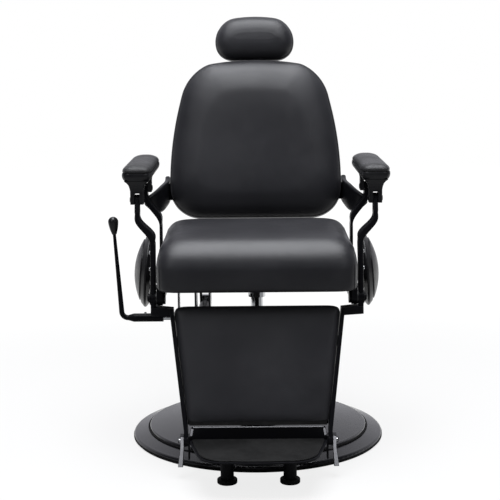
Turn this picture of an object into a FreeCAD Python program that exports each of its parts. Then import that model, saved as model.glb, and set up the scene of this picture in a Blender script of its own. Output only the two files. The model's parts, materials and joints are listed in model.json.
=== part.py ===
import FreeCAD, Part
import math
import os

# Barber chair with a round base, hydraulic lift, linked recline, leg rest and folding foot plate.
# Lengths are in mm, angles in degrees. Z is up, the chair faces -Y, the lift axis is x = y = 0.

os.makedirs("parts", exist_ok=True)
V = FreeCAD.Vector

# Fits
run_clear = 0.05
side_gap = 0.4
fit_gap = 0.1
soft_gap = 0.3

# Base and lift
base_radius = 325.0
rim_width = 12.0
rim_height = 9.0
rim_chamfer = 5.0
plate_thickness = 10.0
disc_wall = 3.0
disc_band = 40.0
disc_band_rise = 9.0
disc_step = 9.0
disc_dome_rise = 24.0
pump_radius = 48.0
pump_flange_radius = 95.0
pump_flange_thickness = 12.0
pump_top = 300.0
pump_head_radius = 54.0
pump_head_height = 28.0
pump_bolt_count = 6
pump_bolt_circle = 78.0
bolt_radius = 5.0
bolt_head_radius = 8.5
bolt_head_height = 6.0
piston_radius = 16.0
piston_foot_z = 40.0

# Pump pedal
pedal_width = 20.0
pedal_thickness = 10.0
pedal_pivot_offset = 16.0
pedal_pivot_z = 100.0
pedal_reach = 262.0
pedal_boss_radius = 11.0
pedal_lug_thickness = 8.0
pedal_pin_radius = 6.0
pedal_tread_width = 84.0
pedal_tread_depth = 55.0
pedal_pad_thickness = 8.0

# Linkage layout
pivot_z = 405.0
front_pivot_y = -205.0
link_span = 260.0
crank_y = 35.0
crank_z = 237.0
arm_cushion_gap = 3.0
arm_thickness = 12.0
arm_depth = 36.0
arm_edge_radius = 4.0
root_boss_radius = 19.5
shaft_radius = 11.0
shaft_overhang = 6.0
stub_collar_radius = 15.0
stub_collar_width = 6.0
bush_wall = 3.0
bush_flange_radius = 17.0
armrest_outset = 31.0
eye_radius = 13.0
arm_pin_radius = 5.0
bend_low_z = 537.0
bend_height = 60.0
bend_lag = 16.0
bend_inner_trim = 10.0
back_strut_thickness = 7.0
back_bend_low_z = 545.0
back_bend_height = 75.0

# Seat frame
rail_thickness = 14.0
rail_end_radius = 18.0
rail_drop = 16.0
rail_heel = 26.0
seat_base_z = 430.0
seat_plate_thickness = 8.0
seat_plate_front_y = -150.0
seat_plate_rear_y = 85.0
seat_board_thickness = 12.0
hub_collar_radius = 22.5
hub_flange_radius = 38.0
hub_drop = 54.0
hub_collar_height = 26.0
hub_flange_height = 12.0
hub_roof = 10.0

# Seat cushion
seat_half_width = 243.0
seat_front_y = -285.0
seat_rear_y = 186.0
seat_height = 126.0
seat_rear_draw = 0.8
seat_corner = 46.0
seat_board_inset = 34.0
seat_bolt_x = 70.0
seat_bolt_margin = 18.0

# Side covers
pod_y = 62.0
pod_z = 427.0
pod_radius = 97.0
pod_arm_gap = 16.0
pod_housing_depth = 22.0
pod_cap_radius = 80.0
pod_cap_depth = 24.0
pod_cap_lip = 5.0
pod_tilt = 5.0
pod_bracket_thickness = 6.0
pod_bracket_width = 40.0
pod_tab_height = 56.0

# Recline cylinder and lever
cylinder_x = -135.0
cylinder_radius = 14.5
cylinder_front_y = -98.0
cylinder_rear_y = 6.0
trunnion_y = -86.0
trunnion_radius = 6.0
cylinder_end_wall = 8.0
rod_radius = 7.0
rod_inside = 36.0
recline_range = 45.0
recline_crank = 66.0
crank_pin_radius = 6.0
eye_half_width = 9.0
eye_half_depth = 13.0
crank_cheek = 6.0
crank_root_half = 15.0
crank_tip_radius = 11.0
hanger_thickness = 5.0
hanger_margin = 14.0
hanger_outer_x = -194.5
lever_y = -125.0
lever_shaft_radius = 6.5
lever_shaft_end_x = -98.0
lever_sleeve_radius = 10.5
lever_sleeve_lap = 12.0
lever_sleeve_bore = 22.0
lever_screw_radius = 3.0
lever_screw_proud = 3.0
lever_screw_pitch = 34.0
lever_elbow_outset = 64.0
lever_taper = 14.0
lever_elbow_radius = 16.0
lever_rod_low_radius = 6.5
lever_rod_top_radius = 4.0
lever_rod_lean = 4.0
lever_rod_top_z = 551.0
knob_radius = 12.5
knob_length = 44.0
cam_reach = 20.0
cam_hub_radius = 11.0
cam_root_half = 9.0
cam_tip_radius = 4.5
cam_angle = 60.0

# Backrest and headrest
back_tilt = 12.0
back_foot_y = 186.0
back_foot_z = 549.0
back_side_step = 7.0
back_height = 438.5
back_cushion_depth = 80.0
back_board_thickness = 12.0
back_board_inset = 12.0
back_shell_depth = 26.0
back_shell_wall = 3.0
back_shell_width_ratio = 0.62
back_shell_height_ratio = 0.84
wing_pad_low = 42.0
wing_pad_high = 116.0
wing_pad_arm_gap = 20.0
wing_pad_width = 58.0
wing_pad_thickness = 8.0
wing_pad_corner = 12.0
wing_screw_margin = 16.0
knuckle_margin = 14.0
wing_thickness = 14.0
wing_drop = 44.0
head_gap = 1.5
head_half_width = 109.0
head_height = 121.0
head_front = 20.0
head_depth = 72.0
post_half_width = 14.0
post_thickness = 8.0
post_setback = 5.0
post_length = 250.0
post_socket = 60.0
guide_wall = 5.0
guide_height = 120.0

# Armrests
armrest_front = 28.0
armrest_rear = 44.0
armrest_half_width = 35.0
armrest_corner = 20.0
armrest_base_low = 44.0
armrest_seam = 66.0
armrest_top = 86.0
fork_half_width = 16.0
fork_half_depth = 17.0
fork_drop = 10.0
slot_roof = 17.0

# Leg rest and foot plate
link_low_drop = 38.0
link_high_drop = 20.0
leg_bar_thickness = 10.0
leg_bar_depth = 28.0
leg_top_inset = 39.0
leg_toe_height = 24.0
leg_top_y = -228.0
leg_taper = 36.0
foot_y = -345.0
foot_z = 89.0
foot_eye_radius = 13.0
foot_pin_radius = 5.0
leg_pad_low = 38.0
leg_pad_high = 320.0
leg_pad_gap = 0.6
leg_pad_front = -16.0
leg_pad_rear = 2.0
leg_pad_corner = 10.0
leg_board_thickness = 8.0
leg_cross_height = 24.0
leg_cross_low = 0.5
leg_cross_high = 94.0
leg_cross_thickness = 5.0
foot_sheet = 3.0
foot_plate_top = 1.0
foot_plate_depth = 176.0
foot_upstand = 33.0
foot_ear_thickness = 4.0
foot_cheek_thickness = 8.0
foot_ear_reach = 13.0
foot_ear_corner = 1.5
foot_ear_drop = 60.0
foot_ear_flare = 6.0
foot_mat_thickness = 4.0
foot_mat_inset = 6.0
post_spacing = 73.0
post_back_offset = 70.0
post_radius = 15.5
post_bottom_z = 20.0
bumper_radius = 23.5
bumper_height = 12.0

# Places that follow from the sizes above
rear_pivot_y = front_pivot_y + link_span
front_pin_y = front_pivot_y + crank_y
rear_pin_y = rear_pivot_y + crank_y
arm_pin_z = pivot_z + crank_z
arm_inner_x = seat_half_width + arm_cushion_gap
back_half_width = seat_half_width - back_side_step
wing_pad_outer_x = arm_inner_x - wing_pad_arm_gap
wing_pad_inner_x = wing_pad_outer_x - wing_pad_width
arm_outer_x = arm_inner_x + arm_thickness
armrest_x = arm_outer_x + armrest_outset
pod_inner_x = arm_outer_x + pod_arm_gap
lever_sleeve_start_x = lever_sleeve_lap - arm_inner_x
lever_elbow_x = -arm_outer_x - lever_elbow_outset
leg_top_x = arm_inner_x - leg_top_inset
foot_x = leg_top_x - leg_taper
rail_outer_x = arm_inner_x - 3.0
rail_inner_x = rail_outer_x - rail_thickness
seat_plate_z = seat_base_z - seat_plate_thickness
hub_bottom_z = seat_plate_z - hub_drop
piston_top_z = seat_plate_z - hub_roof - side_gap
pump_head_top = pump_top + pump_head_height
disc_outer_radius = base_radius - 1.0
band_inner_radius = disc_outer_radius - disc_band
disc_top_z = rim_height + 8.0 + disc_band_rise + disc_step + disc_dome_rise
half_swing = math.radians(recline_range / 2.0)
cylinder_z = pivot_z - recline_crank * (1.0 + math.cos(half_swing)) / 2.0
crank_pin_y = rear_pivot_y + recline_crank * math.sin(half_swing)
crank_pin_z = pivot_z - recline_crank * math.cos(half_swing)
pin_rise = recline_crank * (1.0 - math.cos(half_swing)) / 2.0
clevis_inner = cylinder_radius + 0.5
lever_z = cylinder_z - 1.5
eye_bottom = arm_pin_z - fork_drop
leg_high_z = pivot_z - link_high_drop
leg_low_z = pivot_z - link_low_drop
leg_lean = math.atan2(leg_top_y - foot_y, leg_high_z - foot_z)
pedal_pivot_y = pump_radius + pedal_pivot_offset
back_rear = back_cushion_depth + back_board_thickness
post_front = back_rear + post_setback


def export(name, shape):
    """Writes one piece as its own STEP file."""
    shape.exportStep("parts/" + name + ".step")


def box(x0, x1, y0, y1, z0, z1):
    """Block between two opposite corners."""
    return Part.makeBox(x1 - x0, y1 - y0, z1 - z0, V(x0, y0, z0))


def rod_x(x0, x1, y, z, radius):
    """Round bar along X."""
    return Part.makeCylinder(radius, x1 - x0, V(x0, y, z), V(1, 0, 0))


def rod_y(y0, y1, x, z, radius):
    """Round bar along Y."""
    return Part.makeCylinder(radius, y1 - y0, V(x, y0, z), V(0, 1, 0))


def rod_z(z0, z1, x, y, radius):
    """Round bar along Z."""
    return Part.makeCylinder(radius, z1 - z0, V(x, y, z0), V(0, 0, 1))


def mirrored(shape):
    """The same piece on the other side of the chair."""
    return shape.mirror(V(0, 0, 0), V(1, 0, 0))


def fused(shapes):
    """One solid from shapes that overlap."""
    return shapes[0].multiFuse(shapes[1:]).removeSplitter()


def spun(points, centre, axis):
    """Solid of revolution from a closed outline; a point triple stands for an arc."""
    edges = []
    last = points[0]
    for item in points[1:] + [points[0]]:
        if isinstance(item, tuple):
            edges.append(Part.Arc(last, item[0], item[1]).toShape())
            last = item[1]
        elif item.distanceToPoint(last) > 1e-6:
            edges.append(Part.makeLine(last, item))
            last = item
    return Part.Face(Part.Wire(edges)).revolve(centre, axis, 360)


def dome_middle_point(radius, low, high):
    """Distance from the axis and height halfway along a ball-shaped end that closes on its axis."""
    rise = high - low
    ball = (radius * radius + rise * rise) / (2.0 * rise)
    turn = math.acos((ball - rise) / ball) / 2.0
    return ball * math.sin(turn), high - ball * (1.0 - math.cos(turn))


def rounded(points, radius, place):
    """Closed wire through flat corner points, each corner rounded, set in space by place."""
    count = len(points)
    radii = radius if isinstance(radius, list) else [radius] * count
    corners = []
    for i in range(count):
        here = V(points[i][0], points[i][1], 0)
        before = V(points[i - 1][0], points[i - 1][1], 0) - here
        after = V(points[(i + 1) % count][0], points[(i + 1) % count][1], 0) - here
        before.normalize()
        after.normalize()
        half = before.getAngle(after) / 2.0
        middle = before + after
        middle.normalize()
        reach = radii[i] / math.tan(half)
        inset = radii[i] / math.sin(half) - radii[i]
        corners.append((here + before * reach, here + middle * inset, here + after * reach))
    edges = []
    for i in range(count):
        start, middle, end = [place(p.x, p.y) for p in corners[i]]
        following = corners[(i + 1) % count][0]
        edges.append(Part.Arc(start, middle, end).toShape())
        edges.append(Part.makeLine(end, place(following.x, following.y)))
    return Part.Wire(edges)


def flat_xy(z):
    """Places flat points in a level plane."""
    return lambda a, b: V(a, b, z)


def flat_yz(x):
    """Places flat points in an upright side plane."""
    return lambda a, b: V(x, a, b)


def plate(points, radius, place, thickness):
    """Flat plate from a rounded outline."""
    return Part.Face(rounded(points, radius, place)).extrude(thickness)


def level_section(x0, x1, y0, y1, z, radius):
    """Rounded rectangle at one height."""
    corners = [(x0, y0), (x1, y0), (x1, y1), (x0, y1)]
    return rounded(corners, radius, flat_xy(z))


def lofted(wires, ruled=False):
    """Solid through a row of wires."""
    return Part.makeLoft(wires, True, ruled, False)


def bolt(point, direction, shank, shank_length, head, head_height):
    """Screw with its shank along direction and its head on the other side of point."""
    stem = Part.makeCylinder(shank, shank_length, point, direction)
    cap = Part.makeCylinder(head, head_height, point, direction * -1)
    return stem.fuse(cap).removeSplitter()


def hole(point, direction, radius, length):
    """Cutter for a round hole."""
    return Part.makeCylinder(radius, length, point, direction)


def smooth(t):
    """Eased step from 0 to 1."""
    t = min(max(t, 0.0), 1.0)
    return t * t * (3.0 - 2.0 * t)


def on_back(shape):
    """Moves a piece drawn upright on the back's own axes to its leaning place."""
    moved = shape.copy()
    moved.translate(V(0, back_foot_y, back_foot_z))
    moved.rotate(V(0, back_foot_y, back_foot_z), V(1, 0, 0), -back_tilt)
    return moved


def on_leg(shape):
    """Moves a piece drawn upright on the leg rest's own axes to its leaning place."""
    moved = shape.copy()
    moved.translate(V(0, foot_y, foot_z))
    moved.rotate(V(0, foot_y, foot_z), V(1, 0, 0), -math.degrees(leg_lean))
    return moved


# Base plate with its rubber rim
plate_radius = base_radius - rim_width
flange_top = plate_thickness + pump_flange_thickness
pump_bolt_places = []
for i in range(pump_bolt_count):
    turn = math.radians(360.0 / pump_bolt_count * (i + 0.5))
    pump_bolt_places.append(V(pump_bolt_circle * math.cos(turn), pump_bolt_circle * math.sin(turn),
                              flange_top))
bolt_grip = pump_flange_thickness + plate_thickness / 2.0
bolt_holes = [hole(p, V(0, 0, -1), bolt_radius + fit_gap, bolt_grip + fit_gap) for p in pump_bolt_places]
base_plate = rod_z(0, plate_thickness, 0, 0, plate_radius).cut(Part.makeCompound(bolt_holes))
export("base_plate", base_plate)

rim = spun([V(plate_radius + fit_gap, 0, 0), V(base_radius - rim_chamfer, 0, 0),
            V(base_radius, 0, rim_chamfer), V(base_radius, 0, rim_height),
            V(plate_radius + fit_gap, 0, rim_height)], V(0, 0, 0), V(0, 0, 1))
export("rim_gasket", rim)

# Pressed base disc
disc_hole = pump_radius + 4.0
edge_z = rim_height + 8.0
band_z = edge_z + disc_band_rise
step_z = band_z + disc_step
dome_edge = band_inner_radius - 7.0
dome_middle = (dome_edge + disc_hole) / 2.0
dome_middle_z = step_z + disc_dome_rise * 0.62
disc = spun([V(disc_outer_radius, 0, rim_height),
             (V(disc_outer_radius - 1.8, 0, rim_height + 5.6), V(disc_outer_radius - 7.0, 0, edge_z)),
             V(band_inner_radius, 0, band_z),
             V(band_inner_radius - 2.0, 0, step_z - 3.0),
             (V(band_inner_radius - 3.6, 0, step_z - 0.8), V(dome_edge, 0, step_z)),
             (V(dome_middle, 0, dome_middle_z), V(disc_hole, 0, disc_top_z)),
             V(disc_hole, 0, disc_top_z - disc_wall),
             (V(dome_middle, 0, dome_middle_z - disc_wall), V(dome_edge, 0, step_z - disc_wall)),
             V(band_inner_radius - disc_wall - 2.0, 0, band_z - disc_wall),
             V(disc_outer_radius - 9.0, 0, edge_z - disc_wall),
             V(disc_outer_radius - disc_wall - 2.0, 0, rim_height)], V(0, 0, 0), V(0, 0, 1))
export("base_disc", disc)

# Hydraulic pump with the pedal lugs
bore = piston_radius + run_clear
pump = fused([rod_z(plate_thickness, flange_top, 0, 0, pump_flange_radius),
              rod_z(plate_thickness, pump_top, 0, 0, pump_radius)])
lugs = []
lug_inner = pedal_width / 2.0 + side_gap
for side in (-1, 1):
    x0 = lug_inner if side > 0 else -lug_inner - pedal_lug_thickness
    lugs.append(box(x0, x0 + pedal_lug_thickness, pump_radius - 8.0, pedal_pivot_y + pedal_boss_radius,
                    pedal_pivot_z - pedal_boss_radius - 4.0, pedal_pivot_z + pedal_boss_radius + 4.0))
pump = fused([pump] + lugs)
pin_reach = lug_inner + pedal_lug_thickness
pump = pump.cut(Part.makeCompound(
    bolt_holes + [rod_z(flange_top + 2.0, pump_top, 0, 0, bore),
                  rod_x(-pin_reach, pin_reach, pedal_pivot_y, pedal_pivot_z, pedal_pin_radius)]))
export("pump_body", pump)

head = rod_z(pump_top, pump_head_top, 0, 0, pump_head_radius)
head = head.makeFillet(5.0, [e for e in head.Edges if abs(e.BoundBox.ZMin - pump_head_top) < 0.01])
export("pump_head", head.cut(rod_z(pump_top, pump_head_top, 0, 0, bore)))

bolts = [bolt(p, V(0, 0, -1), bolt_radius, bolt_grip, bolt_head_radius, bolt_head_height)
         for p in pump_bolt_places]
export("pump_bolts", Part.makeCompound(bolts))

# Pump pedal
half_bar = pedal_thickness / 2.0
pedal_pin = rod_x(-pin_reach, pin_reach, pedal_pivot_y, pedal_pivot_z, pedal_pin_radius)
export("pedal_pin", pedal_pin)
bar = box(-pedal_width / 2.0, pedal_width / 2.0, pedal_pivot_y, pedal_reach - pedal_tread_depth / 2.0,
          pedal_pivot_z - half_bar, pedal_pivot_z + half_bar)
boss = rod_x(-pedal_width / 2.0, pedal_width / 2.0, pedal_pivot_y, pedal_pivot_z, pedal_boss_radius)
tread = plate([(-pedal_tread_width / 2.0, pedal_reach - pedal_tread_depth),
               (pedal_tread_width / 2.0, pedal_reach - pedal_tread_depth),
               (pedal_tread_width / 2.0, pedal_reach), (-pedal_tread_width / 2.0, pedal_reach)],
              10.0, flat_xy(pedal_pivot_z - half_bar), V(0, 0, pedal_thickness))
pedal = fused([bar, boss, tread])
export("pedal_arm", pedal.cut(rod_x(-pedal_width, pedal_width, pedal_pivot_y, pedal_pivot_z,
                                    pedal_pin_radius + run_clear)))
pad_half = pedal_tread_width / 2.0 - 2.0
pad_wires = [level_section(-pad_half + d, pad_half - d, pedal_reach - pedal_tread_depth + 2.0 + d,
                           pedal_reach - 2.0 - d, pedal_pivot_z + half_bar + h, 9.0)
             for h, d in ((0.0, 0.0), (pedal_pad_thickness - 2.0, 0.0), (pedal_pad_thickness, 2.0))]
export("pedal_pad", lofted(pad_wires, True))

# Lift piston and the hub that turns on it
export("lift_piston", rod_z(piston_foot_z, piston_top_z, 0, 0, piston_radius))
hub = spun([V(0, 0, hub_bottom_z), V(hub_collar_radius, 0, hub_bottom_z),
            V(hub_collar_radius, 0, hub_bottom_z + hub_collar_height),
            V(hub_flange_radius, 0, seat_plate_z - hub_flange_height),
            V(hub_flange_radius, 0, seat_plate_z), V(0, 0, seat_plate_z)], V(0, 0, 0), V(0, 0, 1))
export("seat_hub", hub.cut(rod_z(hub_bottom_z, seat_plate_z - hub_roof, 0, 0, bore)))

# Seat plate, board and bolts
bolt_ys = (seat_plate_front_y + seat_bolt_margin, seat_plate_rear_y - seat_bolt_margin)
seat_bolt_places = [V(x, y, seat_plate_z) for x in (-seat_bolt_x, seat_bolt_x) for y in bolt_ys]
seat_grip = seat_plate_thickness + seat_board_thickness - 2.0
seat_holes = Part.makeCompound([hole(p, V(0, 0, 1), 4.0 + fit_gap, seat_grip + fit_gap)
                                for p in seat_bolt_places])
seat_plate = box(-rail_inner_x, rail_inner_x, seat_plate_front_y, seat_plate_rear_y,
                 seat_plate_z, seat_base_z)
export("seat_plate", seat_plate.cut(seat_holes))
export("seat_bolts", Part.makeCompound([bolt(p, V(0, 0, 1), 4.0, seat_grip, 7.0, 4.5)
                                        for p in seat_bolt_places]))
board_half = seat_half_width - seat_board_inset


def seat_board_solid(grow):
    """Seat board, or the pocket for it when grown."""
    corners = [(-board_half - grow, seat_front_y + seat_board_inset - grow),
               (board_half + grow, seat_front_y + seat_board_inset - grow),
               (board_half + grow, seat_rear_y - seat_board_inset + grow),
               (-board_half - grow, seat_rear_y - seat_board_inset + grow)]
    return plate(corners, 24.0, flat_xy(seat_base_z), V(0, 0, seat_board_thickness + grow))


export("seat_board", seat_board_solid(0.0).cut(seat_holes))

# Seat cushion with a crowned top and a rolled front; each level: share of the height, front and side inset
seat_levels = ((0.0, 9.0, 5.0), (0.08, 2.0, 1.0), (0.33, 0.0, 0.0), (0.58, 2.0, 0.5), (0.77, 11.0, 3.5),
               (0.89, 27.0, 13.0), (0.957, 53.0, 33.0), (0.99, 90.0, 66.0), (1.0, 130.0, 106.0))
seat_wires = []
for level, inset, side_inset in seat_levels:
    half = seat_half_width - side_inset
    rear_y = seat_rear_y - inset * seat_rear_draw
    seat_wires.append(level_section(-half, half, seat_front_y + inset, rear_y,
                                    seat_base_z + level * seat_height, seat_corner + inset * 0.2))
export("seat_cushion", lofted(seat_wires).cut(seat_board_solid(soft_gap)))

# Side rails with bushes for the two shafts
bush_radius = shaft_radius + bush_wall
rail_low = pivot_z - rail_drop
heel_low = pivot_z - rail_heel + 5.0
rear_end = rear_pivot_y + rail_end_radius + 5.0
rail_face = Part.Face(Part.makePolygon([
    V(rail_inner_x, front_pivot_y, seat_base_z), V(rail_inner_x, front_pivot_y, rail_low),
    V(rail_inner_x, rear_pivot_y - 50.0, rail_low), V(rail_inner_x, rear_pivot_y - 38.0, heel_low),
    V(rail_inner_x, rear_end, heel_low), V(rail_inner_x, rear_end, seat_base_z),
    V(rail_inner_x, front_pivot_y, seat_base_z)]))
nose = rod_x(rail_inner_x, rail_outer_x, front_pivot_y, pivot_z, rail_end_radius)
brow = box(rail_inner_x, rail_outer_x, front_pivot_y - rail_end_radius, front_pivot_y, pivot_z, seat_base_z)
rail = fused([rail_face.extrude(V(rail_thickness, 0, 0)), nose, brow])
bush_holes = [rod_x(rail_inner_x, rail_outer_x, y, pivot_z, bush_radius)
              for y in (front_pivot_y, rear_pivot_y)]
rail = rail.cut(Part.makeCompound(bush_holes))
export("seat_rail_right", rail)
export("seat_rail_left", mirrored(rail))
bushes = []
for y in (front_pivot_y, rear_pivot_y):
    sleeve = rod_x(rail_inner_x, rail_outer_x, y, pivot_z, bush_radius)
    flange = rod_x(rail_outer_x, arm_inner_x - side_gap, y, pivot_z, bush_flange_radius)
    through = rod_x(rail_inner_x, arm_inner_x, y, pivot_z, shaft_radius + run_clear)
    bush = fused([sleeve, flange]).cut(through)
    bushes += [bush, mirrored(bush)]
export("shaft_bushes", Part.makeCompound(bushes))

# Stub shafts that carry the leg rest and the long shaft of the backrest
shaft_end = arm_outer_x + shaft_overhang
collar_x = rail_inner_x - side_gap
stub = fused([rod_x(collar_x - stub_collar_width, shaft_end, front_pivot_y, pivot_z, shaft_radius),
              rod_x(collar_x - stub_collar_width, collar_x, front_pivot_y, pivot_z, stub_collar_radius)])
export("legrest_shaft", Part.makeCompound([stub, mirrored(stub)]))
export("recline_shaft", rod_x(-shaft_end, shaft_end, rear_pivot_y, pivot_z, shaft_radius))


def tilted_pod(shape):
    """Leans a side cover's piece so that its top turns towards the seat."""
    leaned = shape.copy()
    leaned.rotate(V(pod_inner_x, pod_y, pod_z), V(0, 1, 0), -pod_tilt)
    return leaned


def pod_point(x, radius):
    """Point of a side cover's outline at a depth and a radius."""
    return V(x, pod_y, pod_z + radius)


# Round side covers
pod_axis = V(0, pod_y, pod_z)
pod_mid_x = pod_inner_x + pod_housing_depth
housing = spun([pod_point(pod_inner_x, 0), pod_point(pod_inner_x, pod_radius - 12.0),
                pod_point(pod_inner_x + 7.0, pod_radius - 2.0),
                (pod_point(pod_inner_x + 13.0, pod_radius), pod_point(pod_mid_x - 7.0, pod_radius - 2.0)),
                pod_point(pod_mid_x, pod_radius - 10.0), pod_point(pod_mid_x, 0)], pod_axis, V(1, 0, 0))
cap_lip_x = pod_mid_x + pod_cap_lip
cap_middle = dome_middle_point(pod_cap_radius, cap_lip_x, pod_mid_x + pod_cap_depth)
cap = spun([pod_point(pod_mid_x, 0), pod_point(pod_mid_x, pod_cap_radius),
            pod_point(cap_lip_x, pod_cap_radius),
            (pod_point(cap_middle[1], cap_middle[0]), pod_point(pod_mid_x + pod_cap_depth, 0))],
           pod_axis, V(1, 0, 0))
tab_low = pivot_z - rail_heel - pod_bracket_thickness + 5.0
tab = box(pod_inner_x - pod_bracket_thickness, pod_inner_x, pod_y - pod_bracket_width / 2.0,
          pod_y + pod_bracket_width / 2.0, tab_low - 6.0, tab_low + pod_tab_height)
arm = box(rail_inner_x, pod_inner_x, pod_y - pod_bracket_width / 2.0, pod_y + pod_bracket_width / 2.0,
          tab_low, tab_low + pod_bracket_thickness)
bracket = fused([arm, tilted_pod(tab)])
export("pod_brackets", Part.makeCompound([bracket, mirrored(bracket)]))
for name, piece in (("pod_housing", tilted_pod(housing)), ("pod_cap", tilted_pod(cap))):
    export(name + "_right", piece)
    export(name + "_left", mirrored(piece))

# Hanger plates below the seat for the lever shaft and the recline cylinder
hanger_top = seat_plate_z
hanger_corners = [0.5, 12.0, 12.0, 0.5]
lever_hole = rod_x(lever_sleeve_start_x, lever_shaft_end_x, lever_y, lever_z,
                   lever_shaft_radius + run_clear)
strap = [(lever_y - hanger_margin, hanger_top), (lever_y - hanger_margin, lever_z - hanger_margin),
         (lever_y + hanger_margin, lever_z - hanger_margin), (lever_y + hanger_margin, hanger_top)]
outer = plate(strap, hanger_corners, flat_yz(hanger_outer_x - hanger_thickness / 2.0),
              V(hanger_thickness, 0, 0))
cheek_front = lever_y - hanger_margin - 2.0
cheek_rear = trunnion_y + hanger_margin
cheek_low = lever_z - hanger_margin - 2.0
cheek = [(cheek_front, hanger_top), (cheek_front, cheek_low), (cheek_rear, cheek_low),
         (cheek_rear, hanger_top)]
trunnion_reach = clevis_inner + hanger_thickness
trunnion_hole = rod_x(cylinder_x - trunnion_reach, cylinder_x + trunnion_reach, trunnion_y, cylinder_z,
                      trunnion_radius)
hangers = [outer.cut(lever_hole)]
for x0 in (cylinder_x - clevis_inner - hanger_thickness, cylinder_x + clevis_inner):
    wall = plate(cheek, hanger_corners, flat_yz(x0), V(hanger_thickness, 0, 0))
    hangers.append(wall.cut(lever_hole).cut(trunnion_hole))
export("lever_hangers", Part.makeCompound(hangers))

# Recline cylinder, its rod and the crank on the recline shaft
barrel = fused([rod_y(cylinder_front_y, cylinder_rear_y, cylinder_x, cylinder_z, cylinder_radius),
                rod_x(cylinder_x - trunnion_reach, cylinder_x + trunnion_reach, trunnion_y, cylinder_z,
                      trunnion_radius)])
barrel = barrel.cut(rod_y(cylinder_front_y + cylinder_end_wall, cylinder_rear_y, cylinder_x, cylinder_z,
                          rod_radius + run_clear))
export("recline_cylinder", barrel)
slot_half_z = crank_pin_radius + pin_rise + side_gap
slot_half_y = crank_pin_radius + side_gap
rod_eye = box(cylinder_x - eye_half_width, cylinder_x + eye_half_width, crank_pin_y - eye_half_depth,
              crank_pin_y + eye_half_depth, cylinder_z - slot_half_z - 7.0, cylinder_z + slot_half_z + 7.0)
rod_eye = rod_eye.makeFillet(4.0, [e for e in rod_eye.Edges if e.BoundBox.XLength > eye_half_width])
rod_slot = box(cylinder_x - eye_half_width, cylinder_x + eye_half_width, crank_pin_y - slot_half_y,
               crank_pin_y + slot_half_y, cylinder_z - slot_half_z, cylinder_z + slot_half_z)
plunger = rod_y(cylinder_rear_y - rod_inside, crank_pin_y - eye_half_depth + 2.0, cylinder_x, cylinder_z,
                rod_radius)
export("recline_rod", fused([plunger, rod_eye]).cut(rod_slot))

crank_half = eye_half_width + side_gap + crank_cheek
hub_ring = rod_x(cylinder_x - crank_half, cylinder_x + crank_half, rear_pivot_y, pivot_z,
                 shaft_radius + crank_cheek)
along = V(0, crank_pin_y - rear_pivot_y, crank_pin_z - pivot_z)
along.normalize()
across = V(0, -along.z, along.y)
root = V(0, rear_pivot_y, pivot_z)
tip = V(0, crank_pin_y, crank_pin_z)
crank_parts = [hub_ring]
for x0 in (cylinder_x - crank_half, cylinder_x + crank_half - crank_cheek):
    ends = [root + across * crank_root_half, tip + across * crank_tip_radius,
            tip - across * crank_tip_radius, root - across * crank_root_half]
    web_face = Part.Face(Part.makePolygon([V(x0, p.y, p.z) for p in ends + [ends[0]]]))
    web = web_face.extrude(V(crank_cheek, 0, 0))
    crank_parts += [web, rod_x(x0, x0 + crank_cheek, tip.y, tip.z, crank_tip_radius)]
crank_parts.append(rod_x(cylinder_x - crank_half, cylinder_x + crank_half, tip.y, tip.z, crank_pin_radius))
crank_bore = rod_x(cylinder_x - crank_half, cylinder_x + crank_half, rear_pivot_y, pivot_z, shaft_radius)
export("recline_crank", fused(crank_parts).cut(crank_bore))

# Recline lever: plated shaft, sleeve with bent rod, knob, set screws and release cam
shaft_socket_x = lever_sleeve_start_x - lever_sleeve_bore
export("lever_shaft", rod_x(shaft_socket_x, lever_shaft_end_x, lever_y, lever_z, lever_shaft_radius))


lean = math.radians(lever_rod_lean)
elbow_start = V(lever_elbow_x, lever_y, lever_z)
elbow_centre = elbow_start + V(0, 0, lever_elbow_radius)
elbow_face = Part.Face(Part.Wire([Part.makeCircle(lever_rod_low_radius, elbow_start, V(1, 0, 0))]))
elbow = elbow_face.revolve(elbow_centre, V(0, 1, 0), 90.0 - lever_rod_lean)
rod_dir = V(-math.sin(lean), 0, math.cos(lean))
rod_start = elbow_centre + V(-math.cos(lean), 0, -math.sin(lean)) * lever_elbow_radius
rod_end = rod_start + rod_dir * ((lever_rod_top_z - rod_start.z) / rod_dir.z)
sleeve = rod_x(lever_elbow_x + lever_taper, lever_sleeve_start_x, lever_y, lever_z, lever_sleeve_radius)
taper = Part.makeCone(lever_rod_low_radius, lever_sleeve_radius, lever_taper, elbow_start, V(1, 0, 0))
handle = Part.makeCone(lever_rod_low_radius, lever_rod_top_radius, rod_start.distanceToPoint(rod_end),
                       rod_start, rod_dir)
lever = fused([sleeve, taper, elbow, handle])
screw_places = [V(shaft_socket_x + lever_sleeve_bore / 2.0 - lever_screw_pitch * i, lever_y,
                  lever_z + lever_sleeve_radius) for i in range(2)]
screw_depth = lever_sleeve_radius - lever_shaft_radius
screw_holes = [hole(p + V(0, 0, 1), V(0, 0, -1), lever_screw_radius, screw_depth + 4.0)
               for p in screw_places]
lever = lever.cut(Part.makeCompound(
    screw_holes + [rod_x(shaft_socket_x, lever_sleeve_start_x, lever_y, lever_z, lever_shaft_radius)]))
export("recline_lever", lever)
screw_length = screw_depth - fit_gap + lever_screw_proud
export("lever_screws", Part.makeCompound(
    [hole(p + V(0, 0, lever_screw_proud), V(0, 0, -1), lever_screw_radius, screw_length)
     for p in screw_places]))
knob_waist = knob_length * 0.66
knob_middle = dome_middle_point(knob_radius, knob_waist, knob_length)
grip = spun([V(0, 0, 0), V(lever_rod_top_radius + 1.5, 0, 0),
             (V(knob_radius * 0.78, 0, knob_length * 0.3), V(knob_radius, 0, knob_waist)),
             (V(knob_middle[0], 0, knob_middle[1]), V(0, 0, knob_length))], V(0, 0, 0), V(0, 0, 1))
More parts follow.
